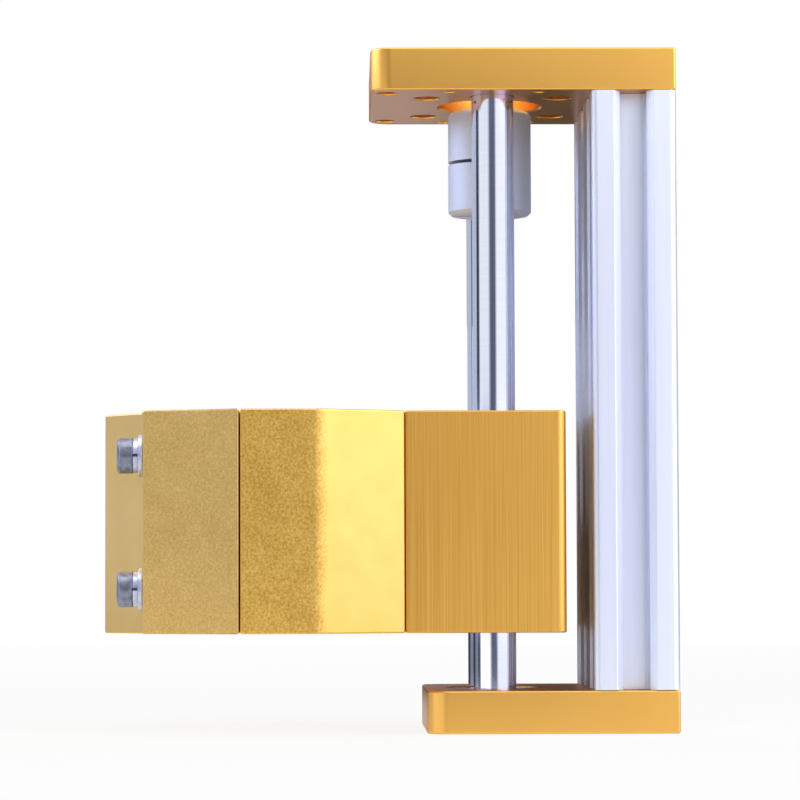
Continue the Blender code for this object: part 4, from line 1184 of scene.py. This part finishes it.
def make_bearing():
    low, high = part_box("bearing_outer_ring")
    outer, gap = BEARING_OUTER / 2, BEARING_INNER / 2 + FIT
    race, edge = outer - RACE_WIDTH, RING_EDGE / 2
    under, over = low.z + SHIELD_DROP, high.z - SHIELD_DROP
    shields = outline([
        (outer, low.z, RING_EDGE), (outer, high.z, RING_EDGE), (race, high.z, edge), (race, over),
        (gap, over, edge), (gap, under, edge), (race, under), (race, low.z, edge),
    ])
    hub = ring_section(SCREW_RADIUS + FIT, BEARING_INNER / 2, low.z, high.z, RING_EDGE, edge)
    for name, section, body, node in (
        ("bearing_race", shields, "frame", "bearing_outer_ring"),
        ("bearing_hub", hub, "screw", "bearing_inner_ring"),
    ):
        add_piece(name, turned(section, closed=True), GROUND_STEEL, body, [node])


make_bearing()

# %% [markdown]
# ## Carriage
# The carriage is a sawn block of bar, brushed on all sides, with two bores for the ball bushes and a
# sunk seat for the brass nut. Its rear corners are rounded more than its front ones, which meet the
# clamp. The bores are sections of the slab again, and the nut's seat is one Boolean.

# %% The carriage block
CARRIAGE_CORNER = 2 * MM
BLOCK_EDGE = 0.4 * MM
BUSH_RADIUS = 8.5 * MM
NUT_BODY_RADIUS = 5.1 * MM
NUT_FLANGE_HALF_WIDTH = 7 * MM
NUT_FLANGE_RADIUS = 11 * MM
NUT_FLANGE_THICKNESS = 3.5 * MM
NUT_FLANGE_EDGE = 0.3 * MM
NUT_SCREW_SPACING = 16 * MM
NUT_SCREW_HOLE = 3.4 * MM
NUT_LOW, NUT_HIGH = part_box("lead_nut")
NUT_SEAT = NUT_HIGH.z - NUT_FLANGE_THICKNESS


def flange_outline(half_width, radius):
    """A disc trimmed to a bar, so that it passes between the two bushes."""
    lean = math.acos(half_width / radius)
    return arc(radius, (0, 0), lean, math.pi - lean) + arc(radius, (0, 0), math.pi + lean, math.tau - lean)


def make_carriage():
    low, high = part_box("carriage_block")
    corners = [
        (low.x, low.y, 2 * BLOCK_EDGE), (high.x, low.y, 2 * BLOCK_EDGE),
        (high.x, high.y, CARRIAGE_CORNER), (low.x, high.y, CARRIAGE_CORNER),
    ]
    holes = []
    for x, radius in ((-ROD_X, BUSH_RADIUS), (ROD_X, BUSH_RADIUS), (0, NUT_BODY_RADIUS)):
        holes.append(((x, 0), drill([(radius + FIT, low.z, high.z)], HOLE_CHAMFER, low.z, high.z)))
    seat = flange_outline(NUT_FLANGE_HALF_WIDTH + FIT, NUT_FLANGE_RADIUS + FIT)
    tool = slab(seat, NUT_SEAT - FIT / 4, high.z + PAST, BLOCK_EDGE)
    shape = carved(slab(outline(corners), low.z, high.z, BLOCK_EDGE, holes), [tool])
    add_piece("carriage", shape, BRUSHED_GOLD, "carriage", ["carriage_block"])


make_carriage()

# %% The brass nut
def make_nut():
    points = flange_outline(NUT_FLANGE_HALF_WIDTH, NUT_FLANGE_RADIUS)
    hole = drill([(NUT_SCREW_HOLE / 2, NUT_SEAT, NUT_HIGH.z)], HOLE_CHAMFER, NUT_SEAT, NUT_HIGH.z)
    holes = [((0, side * NUT_SCREW_SPACING / 2), hole) for side in (-1, 1)]
    flange = slab(points, NUT_SEAT, NUT_HIGH.z, NUT_FLANGE_EDGE, holes)
    body = turned([(NUT_BODY_RADIUS, NUT_LOW.z), (NUT_BODY_RADIUS, NUT_SEAT + NUT_FLANGE_THICKNESS / 2)])
    bore = turned([(SCREW_RADIUS + FIT, NUT_LOW.z - PAST), (SCREW_RADIUS + FIT, NUT_HIGH.z + PAST)])
    shape = carved(carved(flange, [body], "UNION"), [bore])
    add_piece("nut", shape, BRASS, "carriage", ["lead_nut"])


make_nut()

# %% [markdown]
# ## Spindle clamp
# The clamp is two pieces of thick extrusion that close round a spindle. The rear half bolts to the
# carriage: its sides slope in to the carriage's width and blend into the flats with a wide radius, which
# gives the bright band in the picture its soft edge. The front half has two ears for the screws and a
# faceted arch. Both are outlines that run along half of the bore, with the split between them.

# %% Outline of the two halves
SPINDLE_BORE = 45 * MM
CLAMP_SPLIT = 0.4 * MM
CLAMP_NECK_WIDTH = 60 * MM
CLAMP_FLANK_LENGTH = 18.8 * MM
CLAMP_FLANK_ROUND = 8 * MM
CLAMP_EDGE = 0.4 * MM
CLAMP_REAR_ROUND = 0.6 * MM
CAP_EDGE_ROUND = 0.6 * MM
CAP_NOSE_ROUND = 1.2 * MM
SPLIT_EDGE_ROUND = 0.2 * MM
CAP_EAR_WIDTH = 64 * MM
CAP_EAR_DEPTH = 22.7 * MM
CAP_ARCH_WIDTH = 44 * MM
CAP_NOSE_WIDTH = 22 * MM
CLAMP_LOW, CLAMP_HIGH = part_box("spindle_bracket")
CAP_LOW, CAP_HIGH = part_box("clamp_cap")
CLAMP_WIDTH = CLAMP_HIGH.x - CLAMP_LOW.x
CLAMP_MIDDLE = (CLAMP_LOW.z + CLAMP_HIGH.z) / 2
BORE_Y = (CLAMP_LOW.y + CAP_HIGH.y) / 2
CAP_EAR_Y = BORE_Y - CAP_EAR_DEPTH
print("spindle axis at y", round(BORE_Y, 4))


def half_bore(front):
    """Half of the spindle bore, from the split in front of it or behind it."""
    radius = SPINDLE_BORE / 2
    lift = math.asin(CLAMP_SPLIT / 2 / radius)
    step = math.tau / ROUND_STEPS
    if front:
        return arc(radius, (0, BORE_Y), -lift, lift - math.pi, step)
    return arc(radius, (0, BORE_Y), math.pi - lift, lift, step)


def four(width, height):
    """Four places across the clamp's face."""
    return [(x * width / 2, CLAMP_MIDDLE + z * height / 2) for z in (-1, 1) for x in (-1, 1)]


# %% Rear half
BRACKET_SCREW_SPACING = (24 * MM, 26 * MM)
BRACKET_SCREW_SEAT = 11.5 * MM
BRACKET_SCREW_HOLE = 4.4 * MM
BRACKET_SCREW_SINK = 7.4 * MM
BRACKET_SCREW_REACH = 26 * MM
CAP_SCREW_SPACING = (54 * MM, 31 * MM)
CAP_SCREW_HOLE = 5.4 * MM
CAP_SCREW_THREAD_DEPTH = 14 * MM


def bored(section, y, way, spacing):
    """Turned tools that bore the same hole at four places of the clamp's face."""
    places = [(x, y, z) for x, z in four(*spacing)]
    return [moved(turned(section, steps=HOLE_STEPS), place, (0, way, 0)) for place in places]


def make_rear_half():
    half, neck = CLAMP_WIDTH / 2, CLAMP_NECK_WIDTH / 2
    side = [
        (half, CLAMP_LOW.y, SPLIT_EDGE_ROUND), (half, BORE_Y + CLAMP_FLANK_LENGTH, CLAMP_FLANK_ROUND),
        (neck, CLAMP_HIGH.y, CLAMP_REAR_ROUND),
    ]
    points = outline(side + mirrored(side) + half_bore(False))
    shape = slab(points, CLAMP_LOW.z, CLAMP_HIGH.z, CLAMP_EDGE)
    hole, sink = BRACKET_SCREW_HOLE / 2, BRACKET_SCREW_SINK / 2
    sunk = [(hole, -BRACKET_SCREW_SEAT - PAST), (hole, 0), (sink, 0), (sink, BRACKET_SCREW_REACH)]
    tapped = [(CAP_SCREW_HOLE / 2, -PAST), (CAP_SCREW_HOLE / 2, CAP_SCREW_THREAD_DEPTH)]
    tools = bored(sunk, CLAMP_HIGH.y - BRACKET_SCREW_SEAT, -1, BRACKET_SCREW_SPACING)
    shape = carved(shape, tools + bored(tapped, BORE_Y, 1, CAP_SCREW_SPACING))
    add_piece("clamp_rear_half", shape, BRACKET_GOLD, "carriage", ["spindle_bracket"])


make_rear_half()

# %% Front half
def make_front_half():
    left = [
        (-CLAMP_WIDTH / 2, CAP_HIGH.y, SPLIT_EDGE_ROUND),
        (-CAP_EAR_WIDTH / 2, CAP_EAR_Y, CAP_EDGE_ROUND),
        (-CAP_ARCH_WIDTH / 2, CAP_EAR_Y, CAP_EDGE_ROUND),
        (-CAP_NOSE_WIDTH / 2, CAP_LOW.y, CAP_NOSE_ROUND),
    ]
    points = outline(half_bore(True) + left + mirrored(left))
    shape = slab(points, CAP_LOW.z, CAP_HIGH.z, CLAMP_EDGE)
    through = [(CAP_SCREW_HOLE / 2, -PAST), (CAP_SCREW_HOLE / 2, CAP_EAR_DEPTH + PAST)]
    shape = carved(shape, bored(through, CAP_EAR_Y, 1, CAP_SCREW_SPACING))
    add_piece("clamp_front_half", shape, CAP_GOLD, "carriage", ["clamp_cap"])


make_front_half()

# %% [markdown]
# ## Screws in sets
# The slide has five sizes of socket screw, and each size comes in a set. A blank is turned with its
# six-sided socket, then one rule knurls its head by pressing a wave into the wall and sets a copy at
# every place of the set, turned to face out. Changing the number of teeth is one input of the rule.

# %% One rule for every screw set
# A point counts as on the head's wall from this share of its radius.
WALL_SHARE = 0.995


def set_rule():
    rule = Rule("knurled_set")
    points = rule.input("Geometry", "Geometry")
    blank = rule.input("Blank", "Object")
    head, low, high, depth = (
        rule.input(name, "Float") for name in ("Head Radius", "Knurl From", "Knurl To", "Knurl Depth")
    )
    teeth = rule.input("Knurl Count", "Int")
    finish = rule.input("Finish", "Material")
    x, y, z = rule.place()
    flat = rule.add("ShaderNodeCombineXYZ", (x, y, 0.0))
    reach = rule.add("ShaderNodeVectorMath", [flat], "Value", operation="LENGTH")
    on_wall = rule.math("GREATER_THAN", reach, rule.math("MULTIPLY", head, WALL_SHARE))
    height = rule.math("MULTIPLY", rule.math("GREATER_THAN", z, low), rule.math("LESS_THAN", z, high))
    angle = rule.math("MULTIPLY", rule.math("ARCTAN2", y, x), teeth)
    wave = rule.math("MULTIPLY_ADD", rule.math("COSINE", angle), -0.5, 0.5)
    band = rule.math("MULTIPLY", wave, rule.math("MULTIPLY", on_wall, height))
    press = rule.math("MULTIPLY", band, rule.math("DIVIDE", depth, head))
    inward = rule.add("ShaderNodeVectorMath", (flat, rule.math("MULTIPLY", press, -1)), operation="SCALE")
    plain = rule.add("GeometryNodeObjectInfo", [blank], "Geometry")
    knurled = rule.add("GeometryNodeSetPosition", {"Geometry": plain, "Offset": inward})
    facing = rule.add("GeometryNodeInputNamedAttribute", ["facing"], "Attribute", data_type="FLOAT_VECTOR")
    lean = rule.add("FunctionNodeAlignRotationToVector", {"Vector": facing}, axis="Z")
    feeds = {"Points": points, "Instance": knurled, "Rotation": lean}
    rule.finish(rule.add("GeometryNodeInstanceOnPoints", feeds), finish)
    return rule


SET_RULE = set_rule()
print("the rule for sets has", len(SET_RULE.tree.nodes), "nodes")


def points_mesh(places):
    """A mesh of bare points, each with the direction that its copy faces."""
    mesh = bpy.data.meshes.new("places")
    mesh.from_pydata([tuple(place) for place, _ in places], [], [])
    facing = mesh.attributes.new("facing", "FLOAT_VECTOR", "POINT")
    for index, (_, direction) in enumerate(places):
        facing.data[index].vector = direction
    return mesh


def add_set(name, blank, places, finish, body, nodes, slot, head=1.0, band=(0.0, 0.0), depth=0.0, teeth=0):
    """Sets a copy of the blank at each place and joins them into one piece for their body."""
    mesh = as_mesh("blank", blank)
    mesh.shade_smooth()
    mesh.set_sharp_from_angle(angle=SHARP_ANGLE)
    master = as_object("master", mesh)
    joined = grown(SET_RULE, points_mesh(places), {
        "Blank": master, "Head Radius": head, "Knurl From": band[0], "Knurl To": band[1],
        "Knurl Depth": depth, "Knurl Count": teeth, "Finish": finish,
    })
    bpy.data.objects.remove(master)
    return add_piece(name, joined, finish, body, nodes)


# %% Blanks for the screws
SocketScrew = namedtuple("SocketScrew", "shank length head height socket")
KNURL_TEETH = 36
SOCKET_TAPER = 0.35
# Shares of a head's height and of a shank's width that their edges take.
HEAD_EDGE = 1 / 9
SHANK_TIP = 1 / 8


def close_with_socket(shape, ring, width, depth, height):
    """Closes a screw's open top with a flat face round a six-sided socket with a drilled floor."""
    radius = width / math.sqrt(3)
    mouth = ring_of(shape, circle(radius, 6), height)
    floor_ring = ring_of(shape, circle(radius, 6), height - depth)
    tip = shape.verts.new((0, 0, height - depth - width * SOCKET_TAPER / 2))
    wall(shape, floor_ring, mouth)
    for index in range(6):
        shape.faces.new((floor_ring[index - 1], floor_ring[index], tip))
    bmesh.ops.triangle_fill(shape, use_beauty=True, edges=rim_of(shape, ring) + rim_of(shape, mouth))
    bmesh.ops.recalc_face_normals(shape, faces=shape.faces)


def screw_blank(section, socket_width, socket_depth, steps):
    """A screw turned from a section that ends at the rim of its flat top."""
    shape = bmesh.new()
    rings = [ring_of(shape, circle(radius, steps), height) for radius, height in section]
    for lower, upper in zip(rings, rings[1:]):
        wall(shape, lower, upper)
    shape.faces.new(rings[0])
    close_with_socket(shape, rings[-1], socket_width, socket_depth, section[-1][1])
    return shape


def socket_screw(size):
    """A socket head screw and the band of its knurl. The head rests on Z = 0, with a plain foot and a
    rounded rim above the knurl."""
    shank, radius, height = size.shank / 2, size.head / 2, size.height
    edge, tip = height * HEAD_EDGE, size.shank * SHANK_TIP
    section = [
        (shank - tip, -size.length), (shank, tip - size.length), (shank, 0),
        (radius - edge / 2, 0), (radius, edge / 2), (radius, edge), (radius, height - 2 * edge),
        (radius, height - 1.5 * edge), (radius - edge * 0.3, height - edge * 0.6),
        (radius - edge, height - edge * 0.1), (radius - 1.4 * edge, height),
    ]
    blank = screw_blank(section, size.socket, height / 2, 2 * KNURL_TEETH)
    return blank, (edge * 0.9, height - 1.9 * edge)


print("a knurled head has", KNURL_TEETH, "teeth")

# %% Cap, clamp and profile screws
UP, DOWN, FORWARD, AWAY = (0, 0, 1), (0, 0, -1), (0, -1, 0), (-1, 0, 0)
KNURL_DEPTH = 0.16 * MM


def seats(nodes, facing, head_height):
    """Where each screw's head rests, read from its CAD node: the head's top, less its height."""
    facing = Vector(facing)
    places = []
    for node in nodes:
        low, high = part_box(node)
        centre = (low + high) / 2
        top = max(low.dot(facing), high.dot(facing))
        places.append((centre + facing * (top - centre.dot(facing) - head_height), facing))
    return places


def at_corners(kind):
    """The four nodes of a kind that comes in a lower and an upper pair."""
    return [f"{kind}_{level}_{side}" for level in ("lower", "upper") for side in ("left", "right")]


PROFILE_SCREW = SocketScrew(shank=5 * MM, length=16 * MM, head=8.5 * MM, height=5 * MM, socket=4 * MM)
BRACKET_SCREW = SocketScrew(shank=4 * MM, length=20 * MM, head=7 * MM, height=4 * MM, socket=3 * MM)
CAP_SCREW = SocketScrew(shank=5 * MM, length=36 * MM, head=8.4 * MM, height=3.6 * MM, socket=4 * MM)
NUT_SCREW = SocketScrew(shank=3 * MM, length=9 * MM, head=5.5 * MM, height=3 * MM, socket=2.5 * MM)
CROSS_SCREW = SocketScrew(shank=2.5 * MM, length=8 * MM, head=4.5 * MM, height=2.5 * MM, socket=2 * MM)
# Each set: its body, the size of its screws, and the nodes it stands for by the way their heads face.
SCREW_SETS = {
    "profile_bolts": ("frame", PROFILE_SCREW, {
        UP: [f"profile_screw_top_{number}" for number in (1, 2, 3)],
        DOWN: [f"profile_screw_bottom_{number}" for number in (1, 2, 3)],
    }),
    "clamp_mount_bolts": ("carriage", BRACKET_SCREW, {FORWARD: at_corners("bracket_screw")}),
    "clamp_bolts": ("carriage", CAP_SCREW, {FORWARD: at_corners("cap_screw")}),
    "nut_bolts": ("carriage", NUT_SCREW, {UP: ["nut_screw_front", "nut_screw_rear"]}),
    "coupling_bolts": ("screw", CROSS_SCREW, {AWAY: ["coupling_screw_upper", "coupling_screw_lower"]}),
}


def add_screws(name, body, size, groups):
    """A set of knurled screws."""
    blank, band = socket_screw(size)
    places = []
    nodes = []
    for facing, group in groups.items():
        places += seats(group, facing, size.height)
        nodes += group
    knurl = (size.head / 2, band, KNURL_DEPTH, KNURL_TEETH)
    add_set(name, blank, places, SCREW_ZINC, body, nodes, "screw_steel", *knurl)


for set_name, details in SCREW_SETS.items():
    add_screws(set_name, *details)

# %% Countersunk screws of the rods
ROD_SCREW_SHANK = 4 * MM
ROD_SCREW_LENGTH = 12 * MM
ROD_SCREW_HEAD = 7.6 * MM
ROD_SCREW_HEAD_HEIGHT = 2.1 * MM
ROD_SCREW_SOCKET = 2.5 * MM
ROD_SCREW_SOCKET_DEPTH = 1.47 * MM


def make_rod_screws():
    tip = ROD_SCREW_SHANK * SHANK_TIP
    shank, head = ROD_SCREW_SHANK / 2, ROD_SCREW_HEAD / 2
    section = [
        (shank - tip, -ROD_SCREW_LENGTH), (shank, tip - ROD_SCREW_LENGTH), (shank, -ROD_SCREW_HEAD_HEIGHT),
        (head, -tip / 2), (head - tip / 4, 0),
    ]
    blank = screw_blank(section, ROD_SCREW_SOCKET, ROD_SCREW_SOCKET_DEPTH, HOLE_STEPS)
    top = [f"rod_screw_top_{side}" for side in ("left", "right")]
    bottom = [f"rod_screw_bottom_{side}" for side in ("left", "right")]
    places = seats(top, UP, 0) + seats(bottom, DOWN, 0)
    add_set("rod_screws", blank, places, SCREW_ZINC, "frame", top + bottom, "screw_steel")


make_rod_screws()

# %% [markdown]
# ## Washers and bushes
# Under each clamp bolt lie a flat washer and a split spring washer, whose cut ends show as a dark nick.
# The ball bushes sit in both ends of the carriage's bores: a steel sleeve with a black seal that wipes
# the rod. They come in sets of four, so the same rule that set the screws sets them too, unknurled.

# %% Washers
Washer = namedtuple("Washer", "outer inner height")
FLAT_WASHER = Washer(outer=9.8 * MM, inner=5.4 * MM, height=1 * MM)
SPRING_WASHER = Washer(outer=8 * MM, inner=5.4 * MM, height=1.2 * MM)
SPRING_SPLIT = math.radians(9)
WASHER_EDGE = 0.15 * MM


def split_ring(section, split):
    """A ring of wire with its cut facing +X."""
    shape = bmesh.new()
    rings = []
    for index in range(HOLE_STEPS + 1):
        at = split / 2 + (math.tau - split) * index / HOLE_STEPS
        rings.append([shape.verts.new((r * math.cos(at), r * math.sin(at), z)) for r, z in section])
    for lower, upper in zip(rings, rings[1:]):
        wall(shape, lower, upper)
    shape.faces.new(rings[0])
    shape.faces.new(rings[-1])
    bmesh.ops.recalc_face_normals(shape, faces=shape.faces)
    return shape


def washer_section(size):
    """The section of a washer of this size."""
    return ring_section(size.inner / 2, size.outer / 2, 0, size.height, WASHER_EDGE, WASHER_EDGE)


flat_ring = turned(washer_section(FLAT_WASHER), closed=True, steps=HOLE_STEPS)
spring_ring = split_ring(washer_section(SPRING_WASHER), SPRING_SPLIT)
for kind, blank, size in (
    ("flat_washer", flat_ring, FLAT_WASHER), ("spring_washer", spring_ring, SPRING_WASHER),
):
    nodes = at_corners(kind)
    add_set(kind + "s", blank, seats(nodes, FORWARD, size.height), WASHER_ZINC, "carriage", nodes, "washer")

# %% Ball bushes
BUSH_WALL = 1.3 * MM
BUSH_EDGE = 0.4 * MM
SEAL_GAP = 0.15 * MM
SEAL_LIP = 0.5 * MM
SEAL_DISH = 0.6 * MM
SEAL_EDGE = 0.2 * MM
BUSH_LOW, BUSH_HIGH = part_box("bush_sleeve_lower_left")
BUSH_LENGTH = BUSH_HIGH.z - BUSH_LOW.z


def seal_section(rim, length):
    """A seal that is dished at both ends, where a thin lip wipes the rod."""
    wipe = ROD_RADIUS + SEAL_GAP
    lip, flat = wipe + SEAL_LIP, wipe + 2 * SEAL_LIP
    return outline([
        (wipe, SEAL_DISH), (lip, SEAL_DISH), (flat, 0, SEAL_EDGE), (rim, 0, SEAL_EDGE),
        (rim, length, SEAL_EDGE), (flat, length, SEAL_EDGE),
        (lip, length - SEAL_DISH), (wipe, length - SEAL_DISH),
    ])


def add_bushes(name, section, length, finish, kind, slot):
    """Four turned pieces, one at each end of both bores."""
    nodes = at_corners(kind)
    blank = turned(section, closed=True)
    add_set(name, blank, seats(nodes, UP, length), finish, "carriage", nodes, slot)


bore, seal_length = BUSH_RADIUS - BUSH_WALL, BUSH_LENGTH - 2 * FIT
sleeve = ring_section(bore, BUSH_RADIUS, 0, BUSH_LENGTH, BUSH_EDGE / 2, BUSH_EDGE)
seal = seal_section(bore - FIT, seal_length)
add_bushes("bush_sleeves", sleeve, BUSH_LENGTH, GROUND_STEEL, "bush_sleeve", "bearing_steel")
add_bushes("bush_seals", seal, seal_length, BLACK_POLYMER, "bush_retainer", "polymer")
